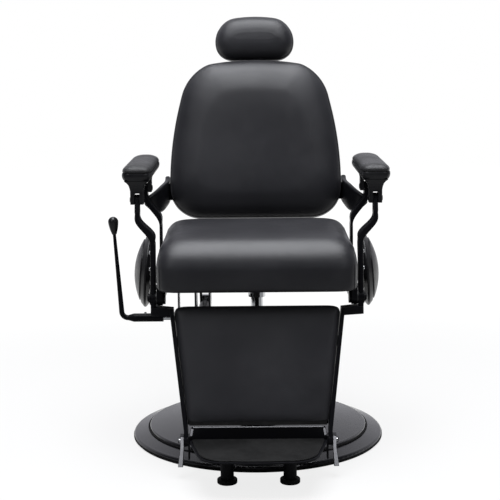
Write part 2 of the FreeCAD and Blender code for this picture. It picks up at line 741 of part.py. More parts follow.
grip.rotate(V(0, 0, 0), V(0, 1, 0), -lever_rod_lean)
grip.translate(rod_end)
export("lever_knob", grip)
cam_half = clevis_inner - 1.5
cam_dir = V(0, math.cos(math.radians(cam_angle)), math.sin(math.radians(cam_angle)))
cam_tip = V(0, lever_y, lever_z) + cam_dir * cam_reach
cam_side = V(0, -cam_dir.z, cam_dir.y)
cam_root = V(0, lever_y, lever_z)
cam_web = [cam_root + cam_side * cam_root_half, cam_tip + cam_side * cam_tip_radius,
           cam_tip - cam_side * cam_tip_radius, cam_root - cam_side * cam_root_half]
cam_x0 = cylinder_x - cam_half
cam_face = Part.Face(Part.makePolygon([V(cam_x0, p.y, p.z) for p in cam_web + [cam_web[0]]]))
cam_x1 = cylinder_x + cam_half
cam = fused([rod_x(cam_x0, cam_x1, lever_y, lever_z, cam_hub_radius),
             cam_face.extrude(V(cam_x1 - cam_x0, 0, 0)),
             rod_x(cam_x0, cam_x1, cam_tip.y, cam_tip.z, cam_tip_radius)])
export("release_cam", cam.cut(rod_x(cam_x0, cam_x1, lever_y, lever_z, lever_shaft_radius)))

# Long levers: a strut bent out to the armrest, shared by the front and rear links
eye_inner_x = armrest_x - arm_thickness / 2.0
eye_outer_x = armrest_x + arm_thickness / 2.0


def strut(pivot_y, low_z, thickness, bend_from, bend_rise):
    """Strut from its seat pivot up to the armrest pin, on the chair's +X side."""
    root_x = arm_inner_x + thickness
    bend_top = bend_from + bend_rise + bend_lag
    bend_levels = [bend_from + (bend_top - bend_from) * i / 7.0 for i in range(8)]

    def section(z, depth):
        outward = smooth((z - bend_from) / bend_rise)
        follow = smooth((z - bend_from - bend_lag) / (bend_rise - bend_inner_trim))
        outer_x = root_x + (eye_outer_x - root_x) * outward
        inner_x = arm_inner_x + (eye_inner_x - arm_inner_x) * follow
        middle = pivot_y + (z - pivot_z) * crank_y / crank_z
        edge = min(arm_edge_radius, thickness * 0.4)
        return level_section(inner_x, outer_x, middle - depth / 2.0, middle + depth / 2.0, z, edge)

    straight = lofted([section(low_z, arm_depth), section(bend_from, arm_depth)], True)
    bend = lofted([section(z, arm_depth) for z in bend_levels])
    tall = lofted([section(bend_top, arm_depth), section(arm_pin_z, eye_radius * 2.0)], True)
    eye = rod_x(eye_inner_x, eye_outer_x, pivot_y + crank_y, arm_pin_z, eye_radius)
    root_boss = rod_x(arm_inner_x, arm_outer_x, pivot_y, pivot_z, root_boss_radius)
    return [straight, bend, tall, eye, root_boss]


def strut_holes(pivot_y):
    """Cutters for the shaft and the armrest pin of a strut."""
    return [rod_x(arm_inner_x, arm_outer_x, pivot_y, pivot_z, shaft_radius),
            rod_x(eye_inner_x, eye_outer_x, pivot_y + crank_y, arm_pin_z, arm_pin_radius + run_clear)]


# Front levers run on below the seat as the leg rest's side bars
leg_half = leg_bar_thickness / 2.0
leg_top_in = leg_top_x - leg_half
leg_top_out = leg_top_x + leg_half
link_y = front_pivot_y + (leg_low_z - pivot_z) * crank_y / crank_z
link = plate([(arm_outer_x, link_y + arm_depth / 2.0), (arm_outer_x, link_y - arm_depth / 2.0),
              (leg_top_out, leg_top_y - leg_bar_depth / 2.0), (leg_top_in, leg_top_y - leg_bar_depth / 2.0),
              (leg_top_in, leg_top_y + leg_bar_depth / 2.0), (arm_inner_x, link_y + arm_depth / 2.0)],
             [4.0, 10.0, 5.0, 3.0, 3.0, 4.0], flat_xy(leg_low_z), V(0, 0, leg_high_z - leg_low_z))


def leg_bar_x(rise):
    """Middle of the side bar at a rise above the foot hinge."""
    share = (rise - leg_toe_height) / (leg_high_z - foot_z - leg_toe_height)
    return foot_x + (leg_top_x - foot_x) * max(share, 0.0)


def leg_bar_section(rise, depth):
    """Level section of the side bar at a rise above the foot hinge."""
    x = leg_bar_x(rise)
    y = foot_y + rise * math.tan(leg_lean)
    return level_section(x - leg_half, x + leg_half, y - depth / 2.0, y + depth / 2.0, foot_z + rise, 3.0)


side_bar = lofted([leg_bar_section(0.0, foot_eye_radius * 2.0),
                   leg_bar_section(leg_toe_height, leg_bar_depth),
                   leg_bar_section(leg_high_z - foot_z, leg_bar_depth)], True)
foot_eye = rod_x(foot_x - leg_half, foot_x + leg_half, foot_y, foot_z, foot_eye_radius)
foot_eye_hole = rod_x(foot_x - 20.0, foot_x + 20.0, foot_y, foot_z, foot_pin_radius + run_clear)
front_strut = strut(front_pivot_y, leg_low_z, arm_thickness, bend_low_z, bend_height)
leg_lever = fused(front_strut + [link, side_bar, foot_eye])
leg_lever = leg_lever.cut(Part.makeCompound(strut_holes(front_pivot_y) + [foot_eye_hole]))
export("leg_lever_right", leg_lever)
export("leg_lever_left", mirrored(leg_lever))


def leg_half_width(height, depth, gap):
    """Half width between the side bars at a height and depth on the leg rest's own axes."""
    rise = height * math.cos(leg_lean) - depth * math.sin(leg_lean)
    return leg_bar_x(rise) - leg_half - gap


def leg_outline(inset, depth, gap):
    """Outline of the leg rest's board or cushion at a depth."""
    low = leg_pad_low + inset
    high = leg_pad_high - inset
    wide = leg_half_width(high, depth, gap) - inset
    narrow = leg_half_width(low, depth, gap) - inset
    corners = [(-narrow, low), (narrow, low), (wide, high), (-wide, high)]
    return rounded(corners, leg_pad_corner + inset * 0.3, lambda a, b: V(a, depth, b))


# Leg rest board, cushion and cross bars
board_front = leg_pad_rear
board_rear = leg_pad_rear + leg_board_thickness
leg_board = Part.Face(leg_outline(6.0, board_front, leg_pad_gap)).extrude(V(0, leg_board_thickness, 0))
export("legrest_board", on_leg(leg_board))
pad_depth = leg_pad_rear - soft_gap - leg_pad_front
leg_shares = ((1.0, 2.0), (0.72, 0.0), (0.42, 2.0), (0.2, 8.0), (0.08, 20.0), (0.02, 40.0), (0.0, 66.0))
leg_wires = [leg_outline(inset, leg_pad_front + share * pad_depth, leg_pad_gap)
             for share, inset in leg_shares]
export("legrest_cushion", on_leg(lofted(leg_wires)))
cross_bars = []
cross_rear = board_rear + leg_cross_thickness
for height in (leg_pad_low + leg_cross_low, leg_pad_high - leg_cross_high):
    low_half = leg_half_width(height, cross_rear, 0.0)
    high_half = leg_half_width(height + leg_cross_height, cross_rear, 0.0)
    corners = [V(-low_half, board_rear, height), V(low_half, board_rear, height),
               V(high_half, board_rear, height + leg_cross_height),
               V(-high_half, board_rear, height + leg_cross_height)]
    cross_face = Part.Face(Part.makePolygon(corners + [corners[0]]))
    cross_bars.append(cross_face.extrude(V(0, leg_cross_thickness, 0)))
export("legrest_crossbars", on_leg(Part.makeCompound(cross_bars)))

# Foot plate with upstand and hinge ears
plate_top_z = foot_z + foot_plate_top
plate_low_z = plate_top_z - foot_sheet
ear_inner = foot_x - leg_half - side_gap - foot_ear_thickness
ear_outer = foot_x + leg_half + side_gap
cheek_outer = ear_outer + foot_cheek_thickness


def foot_outline(inset, z):
    """Half-moon outline of the foot plate."""
    half = ear_inner - inset
    rear = foot_y - inset
    depth = foot_plate_depth - 2.0 * inset
    neck = V(half, rear - depth * 0.1, z)
    shoulder = V(half * 0.875, rear - depth * 0.66, z)
    corner = V(half * 0.735, rear - depth * 0.885, z)
    front = V(half * 0.4, rear - depth * 0.975, z)
    left = [V(-p.x, p.y, z) for p in (neck, shoulder, corner, front)]
    edges = [Part.makeLine(V(-half, rear, z), V(half, rear, z)), Part.makeLine(V(half, rear, z), neck),
             Part.makeLine(neck, shoulder), Part.Arc(shoulder, corner, front).toShape(),
             Part.Arc(front, V(0, rear - depth, z), left[3]).toShape(),
             Part.Arc(left[3], left[2], left[1]).toShape(), Part.makeLine(left[1], left[0]),
             Part.makeLine(left[0], V(-half, rear, z))]
    return Part.Wire(edges)


tray = Part.Face(foot_outline(0.0, plate_low_z)).extrude(V(0, 0, foot_sheet))
upstand_top = plate_top_z + foot_upstand
upstand_half = ear_inner - 3.0
upstand_hip = foot_z + foot_ear_reach - 1.0
upstand = plate([(-ear_inner, plate_low_z), (ear_inner, plate_low_z), (ear_inner, upstand_hip),
                 (upstand_half, upstand_top), (-upstand_half, upstand_top), (-ear_inner, upstand_hip)],
                [0.5, 0.5, 2.0, 5.0, 5.0, 2.0], lambda a, b: V(a, foot_y - foot_sheet, b),
                V(0, foot_sheet, 0))
ears = []
ear_front = foot_y - foot_ear_reach
ear_back = foot_y + foot_ear_reach
for x0, x1, flare, drop in ((ear_inner, ear_inner + foot_ear_thickness, 0.0, foot_ear_drop * 0.7),
                            (ear_outer, cheek_outer, foot_ear_flare, foot_ear_drop)):
    top = level_section(x0, x1, ear_front, ear_back, foot_z + foot_ear_reach, foot_ear_corner)
    waist = level_section(x0, x1, ear_front - 2.0, ear_back, foot_z - foot_ear_reach, foot_ear_corner)
    toe = level_section(x0 + flare / 3.0, x1 + flare, ear_front - 4.0, ear_back - 8.0, foot_z - drop,
                        foot_ear_corner)
    ears.append(lofted([top, waist, toe], True))
saddle_z = foot_z - foot_eye_radius - 6.0
saddle = box(ear_inner + 1.0, ear_outer + foot_ear_thickness / 2.0, ear_front, ear_back - 2.0,
             saddle_z - foot_sheet, saddle_z)
pin_hole = rod_x(ear_inner, cheek_outer, foot_y, foot_z, foot_pin_radius)
ear_pair = fused(ears + [saddle]).cut(pin_hole)
tray = fused([tray, upstand, ear_pair, mirrored(ear_pair)])
eye_room = rod_x(foot_x - leg_half - side_gap, ear_outer, foot_y, foot_z, foot_eye_radius + 4.0)
export("foot_plate", tray.cut(eye_room).cut(mirrored(eye_room)))
mat_wires = [foot_outline(foot_mat_inset + inset, plate_top_z + height)
             for height, inset in ((0.0, 0.0), (foot_mat_thickness - 1.5, 0.0), (foot_mat_thickness, 1.5))]
export("foot_mat", lofted(mat_wires, True))
post_y = foot_y - post_back_offset
posts = [rod_z(post_bottom_z, plate_low_z, x, post_y, post_radius) for x in (-post_spacing, post_spacing)]
export("foot_posts", Part.makeCompound(posts))
bumpers = []
for x in (-post_spacing, post_spacing):
    foot = rod_z(post_bottom_z - bumper_height, post_bottom_z, x, post_y, bumper_radius)
    bumpers.append(foot.makeFillet(3.0, [e for e in foot.Edges if e.BoundBox.ZLength < 0.01]))
export("foot_bumpers", Part.makeCompound(bumpers))
foot_pin = rod_x(ear_inner, cheek_outer + 3.0, foot_y, foot_z, foot_pin_radius)
export("foot_pins", Part.makeCompound([foot_pin, mirrored(foot_pin)]))

# Back arms: a strut, a wing that sweeps behind the cushion and a pad on the back board
pad_shape = box(wing_pad_inner_x, wing_pad_outer_x, back_rear, back_rear + wing_pad_thickness, wing_pad_low,
                wing_pad_high)
pad_edges = [e for e in pad_shape.Edges if e.BoundBox.YLength > wing_pad_thickness / 2.0]
pad_shape = pad_shape.makeFillet(wing_pad_corner, pad_edges)
wing_pad = on_back(pad_shape)
pad_box = wing_pad.BoundBox


def wing_section(spot, turn, low_z, high_z):
    """Upright rounded section of the wing at a spot, across its heading."""
    side = V(1.0, -turn, 0)
    side.normalize()
    half = wing_thickness / 2.0
    corners = [(-half, low_z), (half, low_z), (half, high_z), (-half, high_z)]
    return rounded(corners, wing_thickness * 0.4, lambda a, b: V(spot.x, spot.y, b) + side * a)


# Each station: share of the run to the pad, of the step inwards, turn, low and high edge from the pin
wing_stations = ((0.02, 0.05, -0.7, -48.0, -25.0), (0.15, 0.7, -0.5, -68.0, -14.0),
                 (0.38, 1.12, -0.25, -73.0, -5.0), (0.72, 1.38, -0.1, -67.0, -1.0),
                 (1.05, 1.45, -0.03, -62.0, 8.0))
strut_rear = rear_pin_y - wing_drop * crank_y / crank_z
pad_rear_y = (pad_box.YMin + pad_box.YMax) / 2.0
wing_run = pad_rear_y - wing_pad_thickness - strut_rear
wing_slide = armrest_x - arm_outer_x
wing_wires = []
for along, inward, turn, low, high in wing_stations:
    spot = V(armrest_x - wing_slide * inward, strut_rear + wing_run * along, 0)
    wing_wires.append(wing_section(spot, turn, arm_pin_z + low, arm_pin_z + high))
wing = lofted(wing_wires)
knuckle = box(wing_pad_outer_x - wing_pad_width / 2.0, arm_inner_x - 1.0, back_rear,
              back_rear + wing_pad_thickness, wing_pad_low + knuckle_margin, wing_pad_high - knuckle_margin)
back_strut = strut(rear_pivot_y, pivot_z, back_strut_thickness, back_bend_low_z, back_bend_height)
back_arm = fused(back_strut + [wing, wing_pad, on_back(knuckle)])
pad_screws = []
for height in (wing_pad_low + wing_screw_margin, (wing_pad_low + wing_pad_high) / 2.0,
               wing_pad_high - wing_screw_margin):
    spot = V((wing_pad_inner_x + wing_pad_outer_x) / 2.0 - 8.0, back_rear + wing_pad_thickness, height)
    pad_screws.append(spot)
screw_grip = wing_pad_thickness + back_board_thickness - 2.0
screw_cuts = [on_back(hole(p, V(0, -1, 0), 3.5 + fit_gap, screw_grip + fit_gap)) for p in pad_screws]
back_arm = back_arm.cut(Part.makeCompound(strut_holes(rear_pivot_y) + screw_cuts))
export("back_arm_right", back_arm)
export("back_arm_left", mirrored(back_arm))


def back_outline(inset, depth, wide_ratio=1.0, tall_ratio=1.0):
    """Outline of the back, drawn in by an inset, at a depth behind its front."""
    across_scale = wide_ratio * (1.0 - inset / back_half_width)
    tall_scale = tall_ratio * (1.0 - 2.0 * inset / back_height)

    def spot(x, h):
        return V(x * back_half_width * across_scale, depth,
                 back_height * (0.5 + (h - 0.5) * tall_scale))

    half = [spot(0.66, 0.0), spot(0.9, 0.058), spot(1.0, 0.205), spot(0.97, 0.475), spot(0.871, 0.751),
            spot(0.757, 0.888), spot(0.55, 0.974)]
    other = [V(-p.x, p.y, p.z) for p in half]
    arcs = [(half[0], half[1], half[2]), (half[2], half[3], half[4]), (half[4], half[5], half[6]),
            (half[6], spot(0.0, 1.0), other[6]), (other[6], other[5], other[4]),
            (other[4], other[3], other[2]), (other[2], other[1], other[0])]
    edges = [Part.Arc(a, b, c).toShape() for a, b, c in arcs]
    return Part.Wire(edges + [Part.makeLine(other[0], half[0])])


# Back board, cushion and rear shell
board_cut = Part.makeCompound(screw_cuts + [mirrored(c) for c in screw_cuts])
shell_screws = [V(x, back_rear + back_shell_depth, h)
                for x in (-70.0, 70.0) for h in (back_height * 0.24, back_height * 0.72)]
shell_cuts = Part.makeCompound([on_back(hole(p, V(0, -1, 0), 3.0 + fit_gap, back_shell_depth + 8.0))
                                for p in shell_screws])
board_face = Part.Face(back_outline(back_board_inset, back_cushion_depth))
back_board = board_face.extrude(V(0, back_board_thickness, 0))
export("back_board", on_back(back_board).cut(board_cut).cut(shell_cuts))
back_shares = ((1.0, 8.0), (0.9, 2.0), (0.66, 0.0), (0.44, 3.0), (0.25, 13.0), (0.12, 30.0), (0.045, 56.0),
               (0.01, 90.0), (0.0, 126.0))
back_wires = [back_outline(inset, share * (back_cushion_depth - soft_gap)) for share, inset in back_shares]
export("back_cushion", on_back(lofted(back_wires)))
shell_wires = [back_outline(inset, back_rear + depth, back_shell_width_ratio, back_shell_height_ratio)
               for depth, inset in ((0.0, 0.0), (back_shell_depth - 8.0, 2.0), (back_shell_depth, 12.0))]
cave_wires = [back_outline(inset, back_rear + depth, back_shell_width_ratio, back_shell_height_ratio)
              for depth, inset in ((0.0, back_shell_wall), (back_shell_depth - 8.0, 2.0 + back_shell_wall),
                                   (back_shell_depth - back_shell_wall, 12.0 + back_shell_wall))]
post_room = box(-post_half_width - 2.0, post_half_width + 2.0, back_rear, post_front + post_thickness + 2.0,
                back_height * 0.5, back_height + 40.0)
shell = lofted(shell_wires, True).cut(lofted(cave_wires, True)).cut(post_room)
export("back_shell", on_back(shell).cut(shell_cuts))
screws = []
for p in pad_screws:
    screw = on_back(bolt(p, V(0, -1, 0), 3.5, screw_grip, 6.5, 4.0))
    screws += [screw, mirrored(screw)]
for p in shell_screws:
    screws.append(on_back(bolt(p, V(0, -1, 0), 3.0, back_shell_depth + 6.0, 5.5, 2.5)))
export("back_screws", Part.makeCompound(screws))

# Headrest on a flat post in a guide
guide_top = back_height * 0.9
guide = box(-post_half_width - guide_wall, post_half_width + guide_wall, back_rear,
            post_front + post_thickness + guide_wall, guide_top - guide_height, guide_top)
guide_slot = box(-post_half_width - run_clear, post_half_width + run_clear, post_front - run_clear,
                 post_front + post_thickness + run_clear, guide_top - guide_height, guide_top)
export("headrest_guide", on_back(guide.cut(guide_slot)))
head_low = back_height + head_gap
post_top = head_low + post_socket
post_rear = post_front + post_thickness
post = box(-post_half_width, post_half_width, post_front, post_rear, post_top - post_length, post_top)
export("headrest_post", on_back(post))


def head_outline(inset, depth):
    """Outline of the headrest, drawn in by an inset, at a depth."""
    across_scale = head_half_width - inset
    tall_scale = 1.0 - 2.0 * inset / head_height

    def spot(x, h):
        return V(x * across_scale, depth, head_low + head_height * (0.5 + (h - 0.5) * tall_scale))

    half = [spot(0.58, 0.0), spot(0.87, 0.115), spot(0.995, 0.37), spot(0.925, 0.68), spot(0.6, 0.955)]
    other = [V(-p.x, p.y, p.z) for p in half]
    arcs = [(half[0], half[1], half[2]), (half[2], half[3], half[4]), (half[4], spot(0.0, 1.0), other[4]),
            (other[4], other[3], other[2]), (other[2], other[1], other[0])]
    edges = [Part.Arc(a, b, c).toShape() for a, b, c in arcs]
    return Part.Wire(edges + [Part.makeLine(other[0], half[0])])


head_rear = head_front + head_depth
head_shares = ((1.0, 7.0), (0.86, 1.0), (0.66, 0.0), (0.42, 3.0), (0.22, 11.0), (0.08, 24.0), (0.0, 42.0))
head_wires = [head_outline(inset, head_front + share * (head_depth - soft_gap))
              for share, inset in head_shares]
export("headrest_cushion", on_back(lofted(head_wires)))
head_board_depth = post_rear + 3.0 - head_rear
head_board = Part.Face(head_outline(9.0, head_rear)).extrude(V(0, head_board_depth, 0))
post_pocket = box(-post_half_width, post_half_width, post_front, post_rear, head_low, post_top)
export("headrest_board", on_back(head_board.cut(post_pocket)))

# Armrests: forked base, padded top and two pins
arm_front_y = front_pin_y - armrest_front
arm_rear_y = rear_pin_y + armrest_rear


def armrest_section(inset, height, radius):
    """Plan outline of an armrest at a height above its pins."""
    return level_section(armrest_x - armrest_half_width + inset, armrest_x + armrest_half_width - inset,
                         arm_front_y + inset, arm_rear_y - inset, arm_pin_z + height, radius)


base_wires = [armrest_section(inset, height, armrest_corner - inset * 0.6)
              for height, inset in ((armrest_base_low, 10.0), (armrest_base_low + 4.0, 4.0),
                                    (armrest_base_low + 10.0, 0.5), (armrest_seam, 0.5))]
tray_parts = [lofted(base_wires)]
fork_levels = ((-fork_drop, 0.0), (slot_roof + 5.0, 0.0), (slot_roof + 13.0, 1.5),
               (armrest_base_low - 7.0, 4.0), (armrest_base_low - 2.0, 8.0), (armrest_base_low + 3.0, 14.0))
for pin_y in (front_pin_y, rear_pin_y):
    legs = []
    for height, wider in fork_levels:
        half = fork_half_width + wider
        deep = fork_half_depth + wider / 2.0
        legs.append(level_section(armrest_x - half, armrest_x + half, pin_y - deep, pin_y + deep,
                                  arm_pin_z + height, arm_edge_radius))
    tray_parts.append(lofted(legs, True))
arm_base = fused(tray_parts)
for pin_y in (front_pin_y, rear_pin_y):
    arm_base = arm_base.cut(box(eye_inner_x - side_gap, eye_outer_x + side_gap, pin_y - 40.0, pin_y + 40.0,
                                eye_bottom - 1.0, arm_pin_z + slot_roof))
    arm_base = arm_base.cut(rod_x(armrest_x - 40.0, armrest_x + 40.0, pin_y, arm_pin_z, arm_pin_radius))
pad_levels = ((0.0, 0.03), (0.2, 0.0), (0.42, 0.03), (0.65, 0.15), (0.85, 0.37), (1.0, 0.72))
pad_low = armrest_seam + soft_gap
pad_wires = []
for share, draw in pad_levels:
    inset = draw * armrest_half_width
    height = pad_low + share * (armrest_top - pad_low)
    pad_wires.append(armrest_section(inset, height, armrest_corner - inset * 0.6))
arm_pad = lofted(pad_wires)
pins = [rod_x(armrest_x - fork_half_width, armrest_x + fork_half_width, y, arm_pin_z, arm_pin_radius)
        for y in (front_pin_y, rear_pin_y)]
for name, piece in (("armrest_base", arm_base), ("armrest_pad", arm_pad),
                    ("armrest_pins", Part.makeCompound(pins))):
    export(name + "_right", piece)
    export(name + "_left", mirrored(piece))
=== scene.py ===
"""Looks of a barber chair: padded leatherette, painted steel, chrome and rubber around its frame."""

from __future__ import annotations

import json
import logging
import math
from collections.abc import Callable, Sequence
from dataclasses import dataclass, field
from enum import Enum

import bmesh
import bpy
import numpy as np
from mathutils import Euler, Matrix, Vector
from mathutils.bvhtree import BVHTree

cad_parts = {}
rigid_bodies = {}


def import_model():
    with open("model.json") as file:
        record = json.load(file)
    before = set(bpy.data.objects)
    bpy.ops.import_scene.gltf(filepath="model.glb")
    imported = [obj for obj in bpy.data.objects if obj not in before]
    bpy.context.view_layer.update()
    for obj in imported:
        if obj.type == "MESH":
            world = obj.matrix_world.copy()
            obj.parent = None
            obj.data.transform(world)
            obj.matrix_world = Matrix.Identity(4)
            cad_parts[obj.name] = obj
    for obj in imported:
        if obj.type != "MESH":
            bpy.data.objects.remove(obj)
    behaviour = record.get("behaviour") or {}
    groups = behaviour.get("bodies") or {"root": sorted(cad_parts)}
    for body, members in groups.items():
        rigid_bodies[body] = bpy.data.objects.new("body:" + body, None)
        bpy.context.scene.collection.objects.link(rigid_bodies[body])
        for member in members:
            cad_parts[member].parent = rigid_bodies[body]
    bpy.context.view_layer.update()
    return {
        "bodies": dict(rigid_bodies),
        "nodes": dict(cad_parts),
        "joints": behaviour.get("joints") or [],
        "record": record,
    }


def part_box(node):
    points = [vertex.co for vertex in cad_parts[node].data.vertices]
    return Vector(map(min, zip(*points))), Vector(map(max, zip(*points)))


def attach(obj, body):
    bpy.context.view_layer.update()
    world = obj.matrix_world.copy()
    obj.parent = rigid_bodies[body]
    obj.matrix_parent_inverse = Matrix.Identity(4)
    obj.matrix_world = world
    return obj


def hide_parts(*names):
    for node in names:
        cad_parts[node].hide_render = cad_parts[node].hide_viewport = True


LOG = logging.getLogger("barber_chair")
MM = 0.001
SIDES = (-1.0, 1.0)
SIDE_TAGS = ((-1.0, "left"), (1.0, "right"))
Triple = tuple[float, float, float]
Place = Callable[[np.ndarray], np.ndarray]
SurfaceLine = tuple[np.ndarray, np.ndarray]


class Slot(Enum):
    """Material slots of the record that the pieces take their finish from."""

    BLACK_METAL = "black_metal"
    GLOSS_METAL = "gloss_metal"
    BLACK_RUBBER = "black_rubber"
    CHROME = "chrome"
    ZINC = "zinc"
    BUSH_PLASTIC = "bush_plastic"
    BOARD = "board"
    LEATHERETTE = "leatherette"
    ARM_PAD = "arm_pad"
    BLACK_PLASTIC = "black_plastic"


# Shader wiring


@dataclass
class Wiring:
    """A node tree with short calls for the nodes that the finishes share."""

    tree: bpy.types.NodeTree

    def add(self, kind: str, **settings: object) -> bpy.types.Node:
        """Adds a node of a kind and sets its plain properties.

        Args:
            kind: The node's type name without its leading ShaderNode.
            **settings: Properties of the node.

        Returns:
            The new node.
        """
        node = self.tree.nodes.new("ShaderNode" + kind)
        for key, value in settings.items():
            setattr(node, key, value)
        return node

    def feed(self, socket: bpy.types.NodeSocket, source: object) -> None:
        """Links a socket to its source, or sets it where the source is a plain value.

        Args:
            socket: The socket to feed.
            source: A socket or a plain value.
        """
        if isinstance(source, bpy.types.NodeSocket):
            self.tree.links.new(source, socket)
        else:
            socket.default_value = source

    def sum(self, operation: str, first: object, second: object) -> bpy.types.NodeSocket:
        """Combines two values with a Math node.

        Args:
            operation: The Math node's operation.
            first: A socket or a number.
            second: A socket or a number.

        Returns:
            The result's socket.
        """
        node = self.add("Math", operation=operation)
        self.feed(node.inputs[0], first)
        self.feed(node.inputs[1], second)
        return node.outputs[0]

    def weighed(self, first: object, second: object, share: float) -> bpy.types.NodeSocket:
        """Adds two values by their weights.

        Args:
            first: A socket or a number.
            second: A socket or a number.
            share: Weight of the second; the first has the rest.

        Returns:
            The result's socket.
        """
        rest = self.sum("MULTIPLY", first, 1.0 - share)
        return self.sum("ADD", rest, self.sum("MULTIPLY", second, share))

    def span(self, value: object, low: object, high: object, start: float, end: float,
             ) -> bpy.types.NodeSocket:
        """Maps a value from one smooth range to another.

        Args:
            value: The socket to map.
            low: Value that gives the start.
            high: Value that gives the end.
            start: Result at the low value.
            end: Result at the high value.

        Returns:
            The mapped socket.
        """
        node = self.add("MapRange", interpolation_type="SMOOTHSTEP")
        for socket, source in zip(node.inputs, (value, low, high, start, end)):
            self.feed(socket, source)
        return node.outputs[0]

    def mix(self, share: object, first: object, second: object) -> bpy.types.NodeSocket:
        """Mixes two colours by a share.

        Args:
            share: Socket or number from 0 to 1.
            first: Colour at 0.
            second: Colour at 1.

        Returns:
            The mixed colour's socket.
        """
        node = self.add("Mix", data_type="RGBA")
        for socket, source in ((node.inputs[0], share), (node.inputs[6], first), (node.inputs[7], second)):
            self.feed(socket, source)
        return node.outputs[2]

    def noise(self, vector: bpy.types.NodeSocket, scale: object, detail: float) -> bpy.types.NodeSocket:
        """Adds smooth noise.

        Args:
            vector: Coordinates to sample at.
            scale: Waves to the metre.
            detail: Octaves of finer noise.

        Returns:
            The noise value's socket.
        """
        node = self.add("TexNoise")
        self.feed(node.inputs["Vector"], vector)
        self.feed(node.inputs["Scale"], scale)
        node.inputs["Detail"].default_value = detail
        return node.outputs[0]


@dataclass
class SurfaceEffects:
    """Node groups for grain, handling marks, edge wear and dust, built once for all the finishes.

    A scale counts waves to the metre, and a step is the pair of values that a mask rises between.
    """

    warp_scale: float = 90.0
    warp_reach: float = 0.002
    grit_ratio: float = 2.7
    grit_share: float = 0.25
    tone_scale: float = 7.0
    tone_step: tuple[float, float] = (0.3, 0.7)
    broad_step: tuple[float, float] = (0.35, 0.7)
    fine_step: tuple[float, float] = (0.4, 0.75)
    fine_share: float = 0.35
    edge_step: tuple[float, float] = (0.86, 0.995)
    break_step: tuple[float, float] = (0.42, 0.66)
    level_step: tuple[float, float] = (0.55, 1.0)
    patch_scale: float = 45.0
    patch_step: tuple[float, float] = (0.38, 0.8)
    groups: dict[str, bpy.types.NodeTree] = field(default_factory=dict)

    def start(self, name: str, inputs: Sequence[str], outputs: Sequence[str]) -> tuple[Wiring, dict, dict]:
        """Opens a new group with float sockets.

        Args:
            name: The group's name.
            inputs: Names of the values it takes.
            outputs: Names of the values it puts out.

        Returns:
            Its wiring, its input sockets by name and its output sockets by name.
        """
        tree = bpy.data.node_groups.new(name, "ShaderNodeTree")
        for way, labels in (("INPUT", inputs), ("OUTPUT", outputs)):
            for label in labels:
                tree.interface.new_socket(name=label, in_out=way, socket_type="NodeSocketFloat")
        entry = tree.nodes.new("NodeGroupInput")
        leave = tree.nodes.new("NodeGroupOutput")
        self.groups[name] = tree
        taken = {label: entry.outputs[label] for label in inputs}
        given = {label: leave.inputs[label] for label in outputs}
        return Wiring(tree), taken, given

    def build_grain(self) -> None:
        """Builds the pebbled grain: cells with creases between them and a slow change of tone."""
        net, taken, given = self.start("pebble_grain", ("Cells", "Crease"), ("Height", "Tone"))
        spot = net.add("TexCoord").outputs["Object"]
        warp = net.add("TexNoise")
        net.feed(warp.inputs["Vector"], spot)
        warp.inputs["Scale"].default_value = self.warp_scale
        pull = net.add("VectorMath", operation="SCALE")
        net.feed(pull.inputs[0], warp.outputs[1])
        pull.inputs["Scale"].default_value = self.warp_reach
        moved = net.add("VectorMath", operation="ADD")
        net.feed(moved.inputs[0], spot)
        net.feed(moved.inputs[1], pull.outputs[0])
        cells = net.add("TexVoronoi", feature="DISTANCE_TO_EDGE")
        net.feed(cells.inputs["Vector"], moved.outputs[0])
        net.feed(cells.inputs["Scale"], taken["Cells"])
        pebbles = net.span(cells.outputs["Distance"], 0.0, taken["Crease"], 0.0, 1.0)
        grit = net.noise(spot, net.sum("MULTIPLY", taken["Cells"], self.grit_ratio), 2.0)
        net.feed(given["Height"], net.weighed(pebbles, grit, self.grit_share))
        net.feed(given["Tone"], net.span(net.noise(spot, self.tone_scale, 3.0), *self.tone_step, 0.0, 1.0))

    def build_marks(self) -> None:
        """Builds handling marks: broad wipes and fine smears that change the gloss."""
        net, taken, given = self.start("handling_marks", ("Broad", "Fine"), ("Mask",))
        spot = net.add("TexCoord").outputs["Object"]
        broad = net.span(net.noise(spot, taken["Broad"], 3.0), *self.broad_step, 0.0, 1.0)
        fine = net.span(net.noise(spot, taken["Fine"], 4.0), *self.fine_step, 0.0, 1.0)
        net.feed(given["Mask"], net.weighed(broad, fine, self.fine_share))

    def build_wear(self) -> None:
        """Builds edge wear: a broken mask along the outer edges."""
        net, taken, given = self.start("edge_wear", ("Reach", "Breakup"), ("Mask",))
        spot = net.add("TexCoord").outputs["Object"]
        bevel = net.add("Bevel", samples=4)
        net.feed(bevel.inputs["Radius"], taken["Reach"])
        lean = net.add("VectorMath", operation="DOT_PRODUCT")
        net.feed(lean.inputs[0], bevel.outputs[0])
        net.feed(lean.inputs[1], net.add("NewGeometry").outputs["Normal"])
        edge = net.span(lean.outputs["Value"], *self.edge_step, 1.0, 0.0)
        broken = net.span(net.noise(spot, taken["Breakup"], 4.0), *self.break_step, 0.0, 1.0)
        net.feed(given["Mask"], net.sum("MULTIPLY", edge, broken))

    def build_dust(self) -> None:
        """Builds settled dust: a thin patchy mask on faces that look up."""
        net, taken, given = self.start("settled_dust", ("Amount",), ("Mask",))
        spot = net.add("TexCoord").outputs["Object"]
        parts = net.add("SeparateXYZ")
        net.feed(parts.inputs[0], net.add("NewGeometry").outputs["Normal"])
        level = net.span(parts.outputs["Z"], *self.level_step, 0.0, 1.0)
        patch = net.span(net.noise(spot, self.patch_scale, 6.0), *self.patch_step, 0.0, 1.0)
        net.feed(given["Mask"], net.sum("MULTIPLY", net.sum("MULTIPLY", level, patch), taken["Amount"]))

